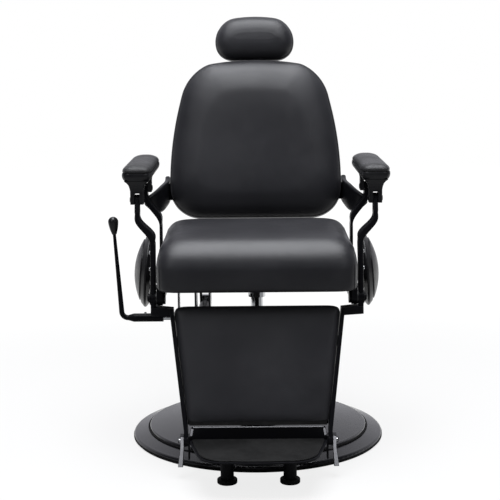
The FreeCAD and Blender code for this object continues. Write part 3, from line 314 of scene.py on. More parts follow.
    def build(self) -> SurfaceEffects:
        """Builds every group.

        Returns:
            The set itself.
        """
        for make in (self.build_grain, self.build_marks, self.build_wear, self.build_dust):
            make()
        return self

    def place(self, net: Wiring, name: str, **values: float) -> bpy.types.Node:
        """Places a group in a material.

        Args:
            net: The material's wiring.
            name: The group's name.
            **values: Its inputs by name.

        Returns:
            The group's node.
        """
        node = net.tree.nodes.new("ShaderNodeGroup")
        node.node_tree = self.groups[name]
        for label, value in values.items():
            node.inputs[label].default_value = value
        return node


# Finishes


@dataclass
class Coat:
    """A material while it is dressed: its wiring, its shader and the shared node groups."""

    net: Wiring
    shader: bpy.types.Node
    effects: SurfaceEffects

    def mask(self, name: str, **values: float) -> bpy.types.NodeSocket:
        """Places a shared group by its name with its values and gives its mask."""
        return self.effects.place(self.net, name, **values).outputs["Mask"]


@dataclass(frozen=True)
class Finish:
    """A surface finish: its slot, colours, range of gloss, depth of relief in metres and marks."""

    name: str
    slot: Slot
    colour: Triple
    worn: Triple
    smooth: float
    rough: float
    metallic: float = 0.0
    specular: float = 0.5
    depth: float = 0.00008
    marks: tuple[float, float] = (9.0, 80.0)
    dust: float = 0.2
    wear: float = 0.0012
    breakup: float = 160.0

    def material(self, effects: SurfaceEffects) -> bpy.types.Material:
        """Makes the material and dresses it.

        Args:
            effects: The shared node groups.

        Returns:
            The finished material.
        """
        paint = bpy.data.materials.new(self.name)
        paint.use_nodes = True
        shader = paint.node_tree.nodes["Principled BSDF"]
        shader.inputs["Metallic"].default_value = self.metallic
        shader.inputs["Specular IOR Level"].default_value = self.specular
        self.dress(Coat(Wiring(paint.node_tree), shader, effects))
        return paint

    def dress(self, coat: Coat) -> None:
        """Feeds the shader's colour, gloss and relief in the finish's own way."""
        raise NotImplementedError

    def smears(self, coat: Coat) -> bpy.types.NodeSocket:
        """Places the handling marks and gives their mask."""
        return coat.mask("handling_marks", Broad=self.marks[0], Fine=self.marks[1])

    def film(self, coat: Coat) -> bpy.types.NodeSocket:
        """Places the settled dust and gives its mask."""
        return coat.mask("settled_dust", Amount=self.dust)

    def rubbed(self, coat: Coat) -> bpy.types.NodeSocket:
        """Places the edge wear and gives its mask."""
        return coat.mask("edge_wear", Reach=self.wear, Breakup=self.breakup)

    def feed_all(self, coat: Coat, tone: bpy.types.NodeSocket, gloss: bpy.types.NodeSocket,
                 height: bpy.types.NodeSocket) -> None:
        """Feeds the colour, the gloss and the relief.

        Args:
            coat: The material to dress.
            tone: Mask from the fresh colour to the worn one.
            gloss: Mask from the smooth value to the rough one.
            height: Height of the relief.
        """
        net, inputs = coat.net, coat.shader.inputs
        net.feed(inputs["Base Color"], net.mix(tone, (*self.colour, 1.0), (*self.worn, 1.0)))
        net.feed(inputs["Roughness"], net.span(gloss, 0.0, 1.0, self.smooth, self.rough))
        bump = net.add("Bump")
        bump.inputs["Distance"].default_value = self.depth
        net.feed(bump.inputs["Height"], height)
        net.feed(inputs["Normal"], bump.outputs[0])


@dataclass(frozen=True)
class GrainedSkin(Finish):
    """Leatherette or moulded skin with a pebbled grain."""

    marks: tuple[float, float] = (5.0, 38.0)
    dust: float = 0.25
    cells: float = 900.0
    crease: float = 0.16

    def dress(self, coat: Coat) -> None:
        """Grain in the relief, a slow tone and dust in the colour, wipes in the gloss.

        Args:
            coat: The material to dress.
        """
        grain = coat.effects.place(coat.net, "pebble_grain", Cells=self.cells, Crease=self.crease)
        tone = coat.net.sum("MAXIMUM", grain.outputs["Tone"], self.film(coat))
        self.feed_all(coat, tone, self.smears(coat), grain.outputs["Height"])


@dataclass(frozen=True)
class PaintedSteel(Finish):
    """Powder-coated or sprayed steel with a fine texture and rubbed edges."""

    depth: float = 0.00004
    marks: tuple[float, float] = (6.0, 60.0)
    dust: float = 0.35
    texture: float = 900.0
    texture_detail: float = 2.0
    lacquer: float = 0.0
    lacquer_rough: float = 0.06

    def dress(self, coat: Coat) -> None:
        """Orange peel in the relief, rubbed edges and dust in the colour, smears in the gloss.

        Args:
            coat: The material to dress.
        """
        net = coat.net
        peel = net.noise(net.add("TexCoord").outputs["Object"], self.texture, self.texture_detail)
        tone = net.sum("MAXIMUM", self.rubbed(coat), self.film(coat))
        self.feed_all(coat, tone, self.smears(coat), peel)
        coat.shader.inputs["Coat Weight"].default_value = self.lacquer
        coat.shader.inputs["Coat Roughness"].default_value = self.lacquer_rough


@dataclass(frozen=True)
class BareMetal(Finish):
    """Chrome or zinc plate with fine lines and handling marks."""

    metallic: float = 1.0
    depth: float = 0.000006
    marks: tuple[float, float] = (14.0, 120.0)
    wear: float = 0.0008
    breakup: float = 220.0
    lines: float = 1400.0
    line_detail: float = 2.0
    stretch: Triple = (0.06, 0.06, 1.0)

    def dress(self, coat: Coat) -> None:
        """Drawn lines in the relief, smears in the gloss and a slight change of tone.

        Args:
            coat: The material to dress.
        """
        net = coat.net
        drawn = net.add("Mapping")
        drawn.inputs["Scale"].default_value = self.stretch
        net.feed(drawn.inputs["Vector"], net.add("TexCoord").outputs["Object"])
        smears = self.smears(coat)
        tone = net.sum("MAXIMUM", self.rubbed(coat), smears)
        self.feed_all(coat, tone, smears, net.noise(drawn.outputs[0], self.lines, self.line_detail))


@dataclass(frozen=True)
class DullSurface(Finish):
    """Rubber, lining cloth or matt plastic with a fine tooth."""

    tooth: float = 1500.0
    crease: float = 0.3

    def dress(self, coat: Coat) -> None:
        """A fine tooth in the relief, dust in the colour and marks in the gloss.

        Args:
            coat: The material to dress.
        """
        grain = coat.effects.place(coat.net, "pebble_grain", Cells=self.tooth, Crease=self.crease)
        smears = self.smears(coat)
        tone = coat.net.sum("MAXIMUM", self.film(coat), smears)
        self.feed_all(coat, tone, smears, grain.outputs["Height"])


LEATHERETTE = GrainedSkin("black_leatherette", Slot.LEATHERETTE, (0.0115, 0.0115, 0.0135),
                          (0.016, 0.016, 0.0185), 0.36, 0.46, specular=0.3, depth=0.00006)
ARM_SKIN = GrainedSkin("moulded_arm_skin", Slot.ARM_PAD, (0.013, 0.013, 0.0135), (0.022, 0.022, 0.023),
                       0.34, 0.48, specular=0.24, cells=420.0, crease=0.22, depth=0.00022)
SATIN_BLACK = PaintedSteel("satin_black_steel", Slot.BLACK_METAL, (0.004, 0.004, 0.005),
                           (0.016, 0.016, 0.018), 0.30, 0.42, specular=0.08)
GLOSS_BLACK = PaintedSteel("gloss_black_base", Slot.GLOSS_METAL, (0.010, 0.010, 0.012), (0.022, 0.022, 0.025),
                           0.18, 0.28, specular=0.4, texture=260.0, depth=0.00001, lacquer=0.35, wear=0.0008)
CHROME = BareMetal("polished_chrome", Slot.CHROME, (0.64, 0.65, 0.66), (0.55, 0.56, 0.57), 0.05, 0.12)
ZINC = BareMetal("bright_zinc", Slot.ZINC, (0.58, 0.59, 0.60), (0.47, 0.475, 0.48), 0.24, 0.40, lines=800.0,
                 depth=0.00002)
RUBBER = DullSurface("black_rubber_trim", Slot.BLACK_RUBBER, (0.004, 0.004, 0.004), (0.010, 0.010, 0.010),
                     0.55, 0.75, specular=0.12)
BUSHING = DullSurface("bush_nylon", Slot.BUSH_PLASTIC, (0.020, 0.020, 0.020), (0.035, 0.035, 0.035),
                      0.40, 0.55)
LINING = DullSurface("board_lining", Slot.BOARD, (0.014, 0.014, 0.014), (0.026, 0.026, 0.026), 0.70, 0.9,
                     tooth=1100.0)
PLASTIC = DullSurface("black_plastic_cover", Slot.BLACK_PLASTIC, (0.006, 0.006, 0.007), (0.013, 0.013, 0.014),
                      0.28, 0.42, specular=0.3, tooth=700.0, depth=0.00003)
# Pale grey for strips on the foot plate's edges: a painted highlight for the light those edges catch.
PALE_EDGE_HIGHLIGHT = DullSurface("pale_edge_highlight", Slot.ZINC, (0.42, 0.42, 0.44), (0.30, 0.30, 0.31), 0.45, 0.6,
                        tooth=900.0, depth=0.00002)
THREAD = DullSurface("black_thread", Slot.LEATHERETTE, (0.012, 0.012, 0.012), (0.03, 0.03, 0.03), 0.5, 0.7)
FRAME_FINISHES = (LEATHERETTE, ARM_SKIN, SATIN_BLACK, GLOSS_BLACK, CHROME, ZINC, RUBBER, BUSHING, LINING,
                  PLASTIC)


@dataclass
class Wardrobe:
    """Every finish as a material, made once, with the finish of each frame node by its slot."""

    effects: SurfaceEffects
    made: dict[str, bpy.types.Material] = field(default_factory=dict)

    def get(self, finish: Finish) -> bpy.types.Material:
        """Gives a finish's material, making it at its first use.

        Args:
            finish: The finish.

        Returns:
            Its material.
        """
        if finish.name not in self.made:
            self.made[finish.name] = finish.material(self.effects)
        return self.made[finish.name]

    def dress_frame(self, frame: dict) -> None:
        """Gives every frame node the finish of its record slot.
        """
        by_slot = {finish.slot.value: finish for finish in FRAME_FINISHES}
        node_slots = {row["node"]: row["material_slot"] for row in frame["record"]["subparts"]}
        for name, node in frame["nodes"].items():
            paint = self.get(by_slot[node_slots[name]])
            if not node.material_slots:
                node.data.materials.append(paint)
            for holder in node.material_slots:
                holder.material = paint

    def put_on(self, piece: bpy.types.Object, finish: Finish, body: str) -> None:
        """Paints a piece, sets it on its body and reports it.

        Args:
            piece: The piece.
            finish: Its finish.
            body: The body that carries it.
        """
        piece.data.materials.clear()
        piece.data.materials.append(self.get(finish))
        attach(piece, body)
        LOG.info("%s: %d faces on %s", piece.name, len(piece.data.polygons), body)


# Curves and meshes

CORNER_STEPS = 16
CLOTH_FRAMES = 20
EVENING_ROUNDS = 60
CORD_SIDES = 10
STITCH_SIDES = 6
STITCH_RISE = (-0.6, 0.35, 0.35, -0.6)


def three_point_arc(first: np.ndarray, middle: np.ndarray, last: np.ndarray, count: int) -> np.ndarray:
    """Samples the arc through three points of a plane.

    Args:
        first: Start of the arc.
        middle: A point on it.
        last: Its end.
        count: Number of steps.

    Returns:
        count + 1 points from first to last.
    """
    system = 2.0 * np.array([middle - first, last - first])
    squares = np.array([middle @ middle - first @ first, last @ last - first @ first])
    centre = np.linalg.solve(system, squares)
    turns = [math.atan2(*(p - centre)[::-1]) for p in (first, middle, last)]
    through = (turns[1] - turns[0]) % math.tau
    sweep = (turns[2] - turns[0]) % math.tau
    if through > sweep:
        sweep -= math.tau
    angles = turns[0] + sweep * np.linspace(0.0, 1.0, count + 1)
    radius = np.linalg.norm(first - centre)
    return centre + radius * np.column_stack([np.cos(angles), np.sin(angles)])


def evenly(points: np.ndarray, count: int) -> np.ndarray:
    """Spaces points evenly along a line.

    Args:
        points: The line's points.
        count: Number of steps wanted.

    Returns:
        count + 1 points from its start to its end.
    """
    run = np.concatenate([[0.0], np.cumsum(np.linalg.norm(np.diff(points, axis=0), axis=1))])
    wanted = np.linspace(0.0, run[-1], count + 1)
    return np.column_stack([np.interp(wanted, run, points[:, i]) for i in range(points.shape[1])])


def through_points(points: Sequence[Sequence[float]], steps: int) -> np.ndarray:
    """Draws a smooth line through a few points.

    Args:
        points: Points that the line passes.
        steps: Steps between two points.

    Returns:
        Points along the line, both ends included.
    """
    knots = np.array(points, float)
    padded = np.vstack([2.0 * knots[0] - knots[1], knots, 2.0 * knots[-1] - knots[-2]])
    line = []
    for i in range(len(knots) - 1):
        a, b, c, d = padded[i:i + 4]
        for t in np.arange(steps) / steps:
            line.append(0.5 * (2.0 * b + (c - a) * t + (2.0 * a - 5.0 * b + 4.0 * c - d) * t ** 2
                               + (3.0 * b - a - 3.0 * c + d) * t ** 3))
    line.append(knots[-1])
    return np.array(line)


def rounded_sides(corners: Sequence[Sequence[float]], radius: float, count: int) -> list[np.ndarray]:
    """Splits a rounded four-cornered outline into four sides that meet halfway round each corner.

    Args:
        corners: Four sharp corners, counter-clockwise.
        radius: Radius of each corner.
        count: Steps in each side.

    Returns:
        Four sides, each count + 1 points.
    """
    points = np.array(corners, float)
    arcs = []
    for i in range(4):
        here = points[i]
        back = points[i - 1] - here
        ahead = points[(i + 1) % 4] - here
        back /= np.linalg.norm(back)
        ahead /= np.linalg.norm(ahead)
        half = math.acos(float(np.clip(back @ ahead, -1.0, 1.0))) / 2.0
        bisector = (back + ahead) / np.linalg.norm(back + ahead)
        centre = here + bisector * radius / math.sin(half)
        reach = radius / math.tan(half)
        start, end = here + back * reach, here + ahead * reach
        arcs.append(three_point_arc(start, centre - bisector * radius, end, CORNER_STEPS))
    cut = CORNER_STEPS // 2
    return [evenly(np.vstack([arcs[i][cut:], arcs[(i + 1) % 4][:cut + 1]]), count) for i in range(4)]


@dataclass
class MeshDraft:
    """Points and faces of a mesh while it is put together."""

    points: list[np.ndarray] = field(default_factory=list)
    faces: list[tuple[int, ...]] = field(default_factory=list)
    total: int = 0

    def ring(self, points: np.ndarray) -> np.ndarray:
        """Adds points.

        Args:
            points: The points.

        Returns:
            Their numbers.
        """
        self.points.append(np.asarray(points, float))
        numbers = np.arange(self.total, self.total + len(points))
        self.total += len(points)
        return numbers

    def bridge(self, first: np.ndarray, second: np.ndarray) -> None:
        """Joins two closed rings with quads, or with triangles where one of them is a single point.

        Args:
            first: Numbers of the first ring.
            second: Numbers of the second ring, as many or one.
        """
        count = max(len(first), len(second))
        for i in range(count):
            j = (i + 1) % count
            if len(first) == 1:
                self.faces.append((first[0], second[j], second[i]))
            elif len(second) == 1:
                self.faces.append((first[i], first[j], second[0]))
            else:
                self.faces.append((first[i], first[j], second[j], second[i]))

    def link(self, rings: Sequence[np.ndarray]) -> None:
        """Joins each ring to the next."""
        for first, second in zip(rings, rings[1:]):
            self.bridge(first, second)

    def tube(self, rings: Sequence[np.ndarray], closed: bool) -> None:
        """Joins rings into a tube.

        Args:
            rings: Rings of the same count.
            closed: Whether the last ring joins the first; both ends are capped otherwise.
        """
        self.link(rings)
        if closed:
            self.bridge(rings[-1], rings[0])
        else:
            self.faces.extend((tuple(rings[0]), tuple(rings[-1][::-1])))

    def patch(self, rim: np.ndarray, flip: bool) -> None:
        """Fills a ring of four equal sides with a grid.

        Args:
            rim: Numbers of the ring's points, from one corner round.
            flip: Whether the faces turn the other way.
        """
        count = len(rim) // 4
        spots = np.vstack(self.points)[rim]
        low, right = spots[:count + 1], spots[count:2 * count + 1]
        high, left = spots[2 * count:3 * count + 1][::-1], np.vstack([spots[3 * count:], spots[:1]])[::-1]
        grid = np.zeros((count + 1, count + 1), int)
        grid[:, 0], grid[count, :] = rim[:count + 1], rim[count:2 * count + 1]
        grid[:, count] = rim[2 * count:3 * count + 1][::-1]
        grid[0, :] = np.concatenate([rim[3 * count:], rim[:1]])[::-1]
        added = []
        for i in range(1, count):
            for j in range(1, count):
                u, v = i / count, j / count
                blend = (1 - v) * low[i] + v * high[i] + (1 - u) * left[j] + u * right[j]
                blend = blend - ((1 - u) * (1 - v) * low[0] + u * (1 - v) * low[-1]
                                 + (1 - u) * v * high[0] + u * v * high[-1])
                added.append(blend)
                grid[i, j] = self.total + len(added) - 1
        self.ring(np.array(added))
        for i in range(count):
            for j in range(count):
                face = (grid[i, j], grid[i + 1, j], grid[i + 1, j + 1], grid[i, j + 1])
                self.faces.append(face[::-1] if flip else face)

    def piece(self, name: str, place: Place | None = None) -> bpy.types.Object:
        """Makes the mesh object.

        Args:
            name: The piece's name.
            place: Turns local points into points of the chair, if they aren't already.

        Returns:
            The new object, linked to the scene and shaded smooth.
        """
        points = np.vstack(self.points)
        if place is not None:
            points = place(points)
        mesh = bpy.data.meshes.new(name)
        mesh.from_pydata(points.tolist(), [], [tuple(int(i) for i in f) for f in self.faces])
        mesh.polygons.foreach_set("use_smooth", [True] * len(mesh.polygons))
        mesh.update()
        made = bpy.data.objects.new(name, mesh)
        bpy.context.scene.collection.objects.link(made)
        return made


def settle(piece: bpy.types.Object, levels: int) -> None:
    """Subdivides a piece and keeps the result as its mesh.

    Args:
        piece: The piece.
        levels: Rounds of subdivision.
    """
    modifier = piece.modifiers.new("finer", "SUBSURF")
    modifier.levels = levels
    bpy.context.view_layer.update()
    made = piece.evaluated_get(bpy.context.evaluated_depsgraph_get())
    mesh = bpy.data.meshes.new_from_object(made)
    piece.modifiers.clear()
    piece.data = mesh
    mesh.polygons.foreach_set("use_smooth", [True] * len(mesh.polygons))


def evened(mesh: bpy.types.Mesh, moved: np.ndarray, held: np.ndarray, rounds: int) -> np.ndarray:
    """Evens out how far the points of a cover moved, so that no crease stays in tight leatherette.

    Args:
        mesh: The cover's mesh.
        moved: How far each point moved.
        held: Points that stay where they are.
        rounds: Rounds of averaging over neighbours.

    Returns:
        The evened moves.
    """
    ends = np.array([e.vertices[:] for e in mesh.edges])
    pairs = np.vstack([ends, ends[:, ::-1]])
    count = np.bincount(pairs[:, 0], minlength=len(moved))[:, None]
    free = ~held[:, None]
    for _ in range(rounds):
        total = np.zeros_like(moved)
        np.add.at(total, pairs[:, 0], moved[pairs[:, 1]])
        moved = np.where(free, total / count, 0.0)
    return moved


def swell(piece: bpy.types.Object, held: np.ndarray, pressure: float, cap: float) -> None:
    """Fills a cover with padding: cloth under pressure, held along its seams.

    Args:
        piece: The cover, as a closed mesh.
        held: Which points the seams and the board hold.
        pressure: Pressure of the padding.
        cap: Furthest that a point may move, in metres.
    """
    group = piece.vertex_groups.new(name="held")
    group.add([int(i) for i in np.flatnonzero(held)], 1.0, "REPLACE")
    cloth = piece.modifiers.new("padding", "CLOTH")
    cloth.settings.vertex_group_mass = "held"
    cloth.settings.use_pressure = True
    cloth.settings.uniform_pressure_force = pressure
    cloth.settings.effector_weights.gravity = 0.0
    cloth.point_cache.frame_end = CLOTH_FRAMES
    scene = bpy.context.scene
    for step in range(1, CLOTH_FRAMES + 1):
        scene.frame_set(step)
    made = piece.evaluated_get(bpy.context.evaluated_depsgraph_get())
    rest = np.array([v.co for v in piece.data.vertices], float)
    moved = np.array([v.co for v in made.data.vertices], float) - rest
    moved = evened(piece.data, moved, held, EVENING_ROUNDS)
    reach = np.linalg.norm(moved, axis=1)
    share = np.where(reach > cap, cap / np.maximum(reach, 1e-9), 1.0)
    final = rest + moved * share[:, None]
    piece.modifiers.clear()
    piece.vertex_groups.clear()
    piece.data.vertices.foreach_set("co", final.ravel())
    piece.data.update()
    scene.frame_set(1)
    LOG.info("%s swelled by up to %.1f mm", piece.name, float((reach * share).max()) / MM)


def surface_tree(piece: bpy.types.Object) -> BVHTree:
    """A tree of a piece's faces, to cast rays at or find the nearest point of."""
    mesh = piece.data
    return BVHTree.FromPolygons([v.co for v in mesh.vertices], [p.vertices for p in mesh.polygons])


def on_surface(piece: bpy.types.Object, path: np.ndarray) -> SurfaceLine:
    """Lays a path on a piece's surface.

    Args:
        piece: The piece.
        path: Points close to its surface.

    Returns:
        The nearest points of the surface and the normals there.
    """
    tree = surface_tree(piece)
    hits = [tree.find_nearest(Vector(p)) for p in path]
    return np.array([h[0] for h in hits]), np.array([h[1] for h in hits])


def cord_mesh(name: str, path: np.ndarray, normals: np.ndarray, wide: float, proud: float, closed: bool,
              ) -> bpy.types.Object:
    """Sweeps a flat oval along a path.

    Args:
        name: The piece's name.
        path: Points of the line.
        normals: Outward directions at those points.
        wide: Half width of the oval.
        proud: Half height of the oval along the normal.
        closed: Whether the line closes on itself.

    Returns:
        The swept piece.
    """
    draft = MeshDraft()
    turns = np.arange(CORD_SIDES) * math.tau / CORD_SIDES
    rings = []
    for i, spot in enumerate(path):
        after = path[(i + 1) % len(path)] if closed or i + 1 < len(path) else spot
        before = path[i - 1] if closed or i > 0 else spot
        along = (after - before) / np.linalg.norm(after - before)
        across = np.cross(along, normals[i])
        across /= np.linalg.norm(across)
        up = np.cross(across, along)
        sideways, outward = np.outer(np.cos(turns), across) * wide, np.outer(np.sin(turns), up) * proud
        rings.append(draft.ring(spot + sideways + outward))
    draft.tube(rings, closed)
    return draft.piece(name)


def stitch_mesh(name: str, path: np.ndarray, normals: np.ndarray, pitch: float, thread: float,
                ) -> bpy.types.Object:
    """Sews a row of stitches along a path.

    Args:
        name: The piece's name.
        path: Points of the line, on the surface.
        normals: Outward directions at those points.
        pitch: Distance from one stitch to the next.
        thread: Thickness of the thread.

    Returns:
        One mesh of separate stitches.
    """
    joined = np.hstack([path, normals])
    run = float(np.linalg.norm(np.diff(path, axis=0), axis=1).sum())
    count = max(int(run / pitch), 2)
    stations = evenly(joined, count * len(STITCH_RISE))[:-1].reshape(count, len(STITCH_RISE), -1)
    draft = MeshDraft()
    turns = np.arange(STITCH_SIDES) * math.tau / STITCH_SIDES
    for station in stations:
        along = station[-1, :3] - station[0, :3]
        along /= np.linalg.norm(along)
        rings = []
        for spot, rise in zip(station, STITCH_RISE):
            up = spot[3:]
            across = np.cross(along, up)
            middle = spot[:3] + up * rise * thread
            rings.append(draft.ring(middle + np.outer(np.cos(turns), across) * thread / 2.0
                                    + np.outer(np.sin(turns), up) * thread / 2.0))
        draft.tube(rings, False)
    return draft.piece(name)


def turned(name: str, profile: Sequence[Sequence[float]], origin: Sequence[float], axis: Sequence[float],
           sides: int) -> bpy.types.Object:
    """Turns a profile round an axis, as on a lathe.

    Args:
        name: The piece's name.
        profile: Pairs of height and radius in mm; a closed loop, or a line between two points on the axis.
        origin: Foot of the axis, in mm.
        axis: Its direction.
        sides: Steps round the axis.

    Returns:
        The turned piece.
    """
    direction = np.array(axis, float) / np.linalg.norm(axis)
    side = np.cross(direction, (0.0, 1.0, 0.0) if abs(direction[1]) < 0.9 else (1.0, 0.0, 0.0))
    side /= np.linalg.norm(side)
    other = np.cross(direction, side)
    turns = np.arange(sides) * math.tau / sides
    wheel = np.outer(np.cos(turns), side) + np.outer(np.sin(turns), other)
    draft = MeshDraft()
    rings = []
    for height, radius in profile:
        middle = np.array(origin, float) * MM + direction * (height * MM)
        rings.append(draft.ring(middle + wheel * (radius * MM) if radius else middle[None, :]))
    draft.link(rings)
    if len(rings[0]) > 1 and len(rings[-1]) > 1:
        draft.bridge(rings[-1], rings[0])
    return draft.piece(name)


def join(name: str, pieces: Sequence[bpy.types.Object]) -> bpy.types.Object:
    """Joins several meshes into one piece.

    Args:
        name: The joined piece's name.
        pieces: Meshes placed in the chair's frame.

    Returns:
        The joined piece.
    """
    draft = MeshDraft()
    for part in pieces:
        numbers = draft.ring(np.array([v.co for v in part.data.vertices], float))
        draft.faces.extend(tuple(int(numbers[i]) for i in p.vertices) for p in part.data.polygons)
        mesh = part.data
        bpy.data.objects.remove(part)
        bpy.data.meshes.remove(mesh)
    return draft.piece(name)


def slabs(name: str, stacks: Sequence[Sequence[np.ndarray]]) -> bpy.types.Object:
    """Makes flat-sided slabs as one piece.

    Args:
        name: The piece's name.
        stacks: Each slab's levels in mm, from one end to the other, of the same count of corners.

    Returns:
        The piece, with sharp edges.
    """
    draft = MeshDraft()
    for levels in stacks:
        rings = [draft.ring(np.array(level, float) * MM) for level in levels]
        draft.link(rings)
        draft.faces.extend((tuple(rings[0][::-1]), tuple(rings[-1])))
    made = draft.piece(name)
    shell = bmesh.new()
    shell.from_mesh(made.data)
    bmesh.ops.recalc_face_normals(shell, faces=shell.faces)
    for face in shell.faces:
        face.smooth = False
    shell.to_mesh(made.data)
    shell.free()
    return made


# Padding


@dataclass
class Cushion:
    """A padded cover: an outline, a profile from its board to its crown, and its seams; sizes in mm."""

    name: str
    node: str
    body: str
    finish: Finish = LEATHERETTE
    swelled: bool = True
    steps: int = 24
    profile_steps: int = 3
    pressure: float = 4.0
    cap: float = 6.0
    fill: float = 0.75
    levels: int = 2
    held_share: float = 0.5
    welt: tuple[float, float] = (1.7, 1.3)
    seam_steps: int = 4
    stitch_gap: float = 6.0
    stitch_pitch: float = 5.0
    thread: float = 0.8
    half_wide: float = field(init=False, default=0.0)
    half_tall: float = field(init=False, default=0.0)
    piece: bpy.types.Object = field(init=False, default=None)

    def sides(self) -> list[np.ndarray]:
        """Outline about its middle, as four sides."""
        raise NotImplementedError

    def profile(self) -> Sequence[Sequence[float]]:
        """Rows of height above the board and inset from the outline, and the sides' own inset."""
        raise NotImplementedError

    def place(self, points: np.ndarray) -> np.ndarray:
        """Local points (across, along, height) as points of the chair in metres."""
        raise NotImplementedError

    def ring_at(self, outline: np.ndarray, height: float, inset: float, across: float | None = None,
                ) -> np.ndarray:
        """The outline at a height, drawn in by an inset.

        Args:
            outline: The closed outline.
            height: Height above the board.
            inset: How far it is drawn in.
            across: How far its two sides are drawn in where that differs.

        Returns:
            The ring as local points.
        """
        sideways = inset if across is None else across
        scale = np.array([1.0 - sideways / self.half_wide, 1.0 - inset / self.half_tall])
        return np.column_stack([outline * scale, np.full(len(outline), height)])

    def outline(self) -> np.ndarray:
        """Joins the sides and notes the half sizes.

        Returns:
            The closed outline, four times the steps.
        """
        ring = np.vstack([side[:-1] for side in self.sides()])
        self.half_wide = float(np.abs(ring[:, 0]).max())
        self.half_tall = float(np.abs(ring[:, 1]).max())
        return ring

    def shell(self, outline: np.ndarray) -> np.ndarray:
        """Builds the cover as a closed mesh.

        Args:
            outline: The closed outline.

        Returns:
            Which of its points the board holds.
        """
        line = through_points(self.profile(), self.profile_steps)
        draft = MeshDraft()
        rings = [draft.ring(self.ring_at(outline, *row)) for row in line]
        draft.link(rings)
        draft.patch(rings[0], True)
        draft.patch(rings[-1], False)
        self.piece = draft.piece(self.name, self.place)
        heights = np.vstack(draft.points)[:, 2]
        return heights <= float(line[:, 0].max()) * self.held_share

    def build(self, wardrobe: Wardrobe) -> None:
        """Builds the cover, fills it with padding and dresses it.

        Args:
            wardrobe: The finishes.
        """
        outline = self.outline()
        held = self.shell(outline)
        if self.swelled:
            swell(self.piece, held, self.pressure, self.cap * MM)
        settle(self.piece, self.levels)
        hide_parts(self.node)
        wardrobe.put_on(self.piece, self.finish, self.body)
        self.sew(wardrobe, outline)

    def sew(self, wardrobe: Wardrobe, outline: np.ndarray) -> None:
        """Adds the seams; a cushion without any adds nothing."""

    def add_seam(self, wardrobe: Wardrobe, names: tuple[str, str], line: SurfaceLine, beside: SurfaceLine,
                 closed: bool) -> None:
        """Adds a welt and the row of stitches beside it.

        Args:
            wardrobe: The finishes.
            names: Names of the welt and of the stitches.
            line: Points and normals of the welt.
            beside: Points and normals of the stitches.
            closed: Whether the welt closes on itself.
        """
        wide, proud = self.welt
        wardrobe.put_on(cord_mesh(names[0], *line, wide * MM, proud * MM, closed), LEATHERETTE, self.body)
        row = stitch_mesh(names[1], *beside, self.stitch_pitch * MM, self.thread * MM)
        wardrobe.put_on(row, THREAD, self.body)

    def seam_round(self, wardrobe: Wardrobe, outline: np.ndarray, height: float, inset: float) -> None:
        """Adds a welt round the cushion with a row of stitches beside it.

        Args:
            wardrobe: The finishes.
            outline: The closed outline.
            height: Height of the welt above the board.
            inset: Its inset from the outline.
        """
        loops = []
        for level in (height, height + self.stitch_gap):
            ring = self.ring_at(outline, level, inset)
            loops.append(self.place(evenly(np.vstack([ring, ring[:1]]), self.seam_steps * len(outline))))
        names = (f"{self.name}_seam", f"{self.name}_seam_stitches")
        line, beside = on_surface(self.piece, loops[0][:-1]), on_surface(self.piece, loops[1])
        self.add_seam(wardrobe, names, line, beside, True)


@dataclass
class LevelCushion(Cushion):
    """A cushion that lies level on its board, with a rounded plan."""

    middle_x: float = 0.0
    half: float = 242.5
    front: float = -285.0
    rear: float = 186.0
    low: float = 430.0
    height: float = 126.0
    corner: float = 46.0

    def sides(self) -> list[np.ndarray]:
        """Draws the rounded plan.

        Returns:
            Its four sides.
        """
        deep = (self.rear - self.front) / 2.0
        corners = ((-self.half, -deep), (self.half, -deep), (self.half, deep), (-self.half, deep))
        return rounded_sides(corners, self.corner, self.steps)

    def place(self, points: np.ndarray) -> np.ndarray:
        """Local points as points of the chair in metres, level above the board."""
        middle = (self.front + self.rear) / 2.0
        return (points + np.array([self.middle_x, middle, self.low])) * MM


@dataclass
class SeatCushion(LevelCushion):
    """The deep seat cushion: drawn-in foot, full side and rolled top."""

    name: str = "seat_pad"
    node: str = "seat_cushion"
    body: str = "seat"
    rows: Sequence[Sequence[float]] = (
        (0.0, 9.0, 5.0), (0.08, 2.0, 1.0), (0.3, 0.0, 0.0), (0.52, 2.0, 0.3), (0.7, 10.0, 2.5),
        (0.83, 25.0, 9.0), (0.915, 48.0, 24.0), (0.962, 80.0, 50.0), (0.985, 120.0, 86.0),
        (0.995, 165.0, 130.0), (0.998, 205.0, 172.0))
    welt: tuple[float, float] = (1.6, 1.1)
    seam_inset: float = 9.0
    seam_eye: float = 0.35
    seam_turns: tuple[float, float] = (-14.0, 186.0)
    seam_points: int = 220

    def profile(self) -> Sequence[Sequence[float]]:
        """Rows of height, front inset and side inset, from shares of the height."""
        return [(share * self.height, inset, across) for share, inset, across in self.rows]

    def sew(self, wardrobe: Wardrobe, outline: np.ndarray) -> None:
        """Adds the two side seams that run back over the roll, found by rays from the middle.

        Args:
            wardrobe: The finishes.
            outline: The closed outline, which these seams don't follow.
        """
        tree = surface_tree(self.piece)
        eye_y = (self.front + self.rear) / 2.0 * MM
        eye_z = (self.low + self.height * self.seam_eye) * MM
        for side, tag in SIDE_TAGS:
            eye = Vector((side * (self.half - self.seam_inset) * MM, eye_y, eye_z))
            hits = []
            for turn in np.linspace(*np.radians(self.seam_turns), self.seam_points):
                hit, normal, _, _ = tree.ray_cast(eye, Vector((0.0, -math.cos(turn), math.sin(turn))))
                if hit is not None:
                    hits.append((hit, normal))
            path, normals = (np.array(column) for column in zip(*hits))
            beside = on_surface(self.piece, path + np.array([-side * self.stitch_gap * MM, 0.0, 0.0]))
            names = (f"seat_seam_{tag}", f"seat_stitches_{tag}")
            self.add_seam(wardrobe, names, (path, normals), beside, False)


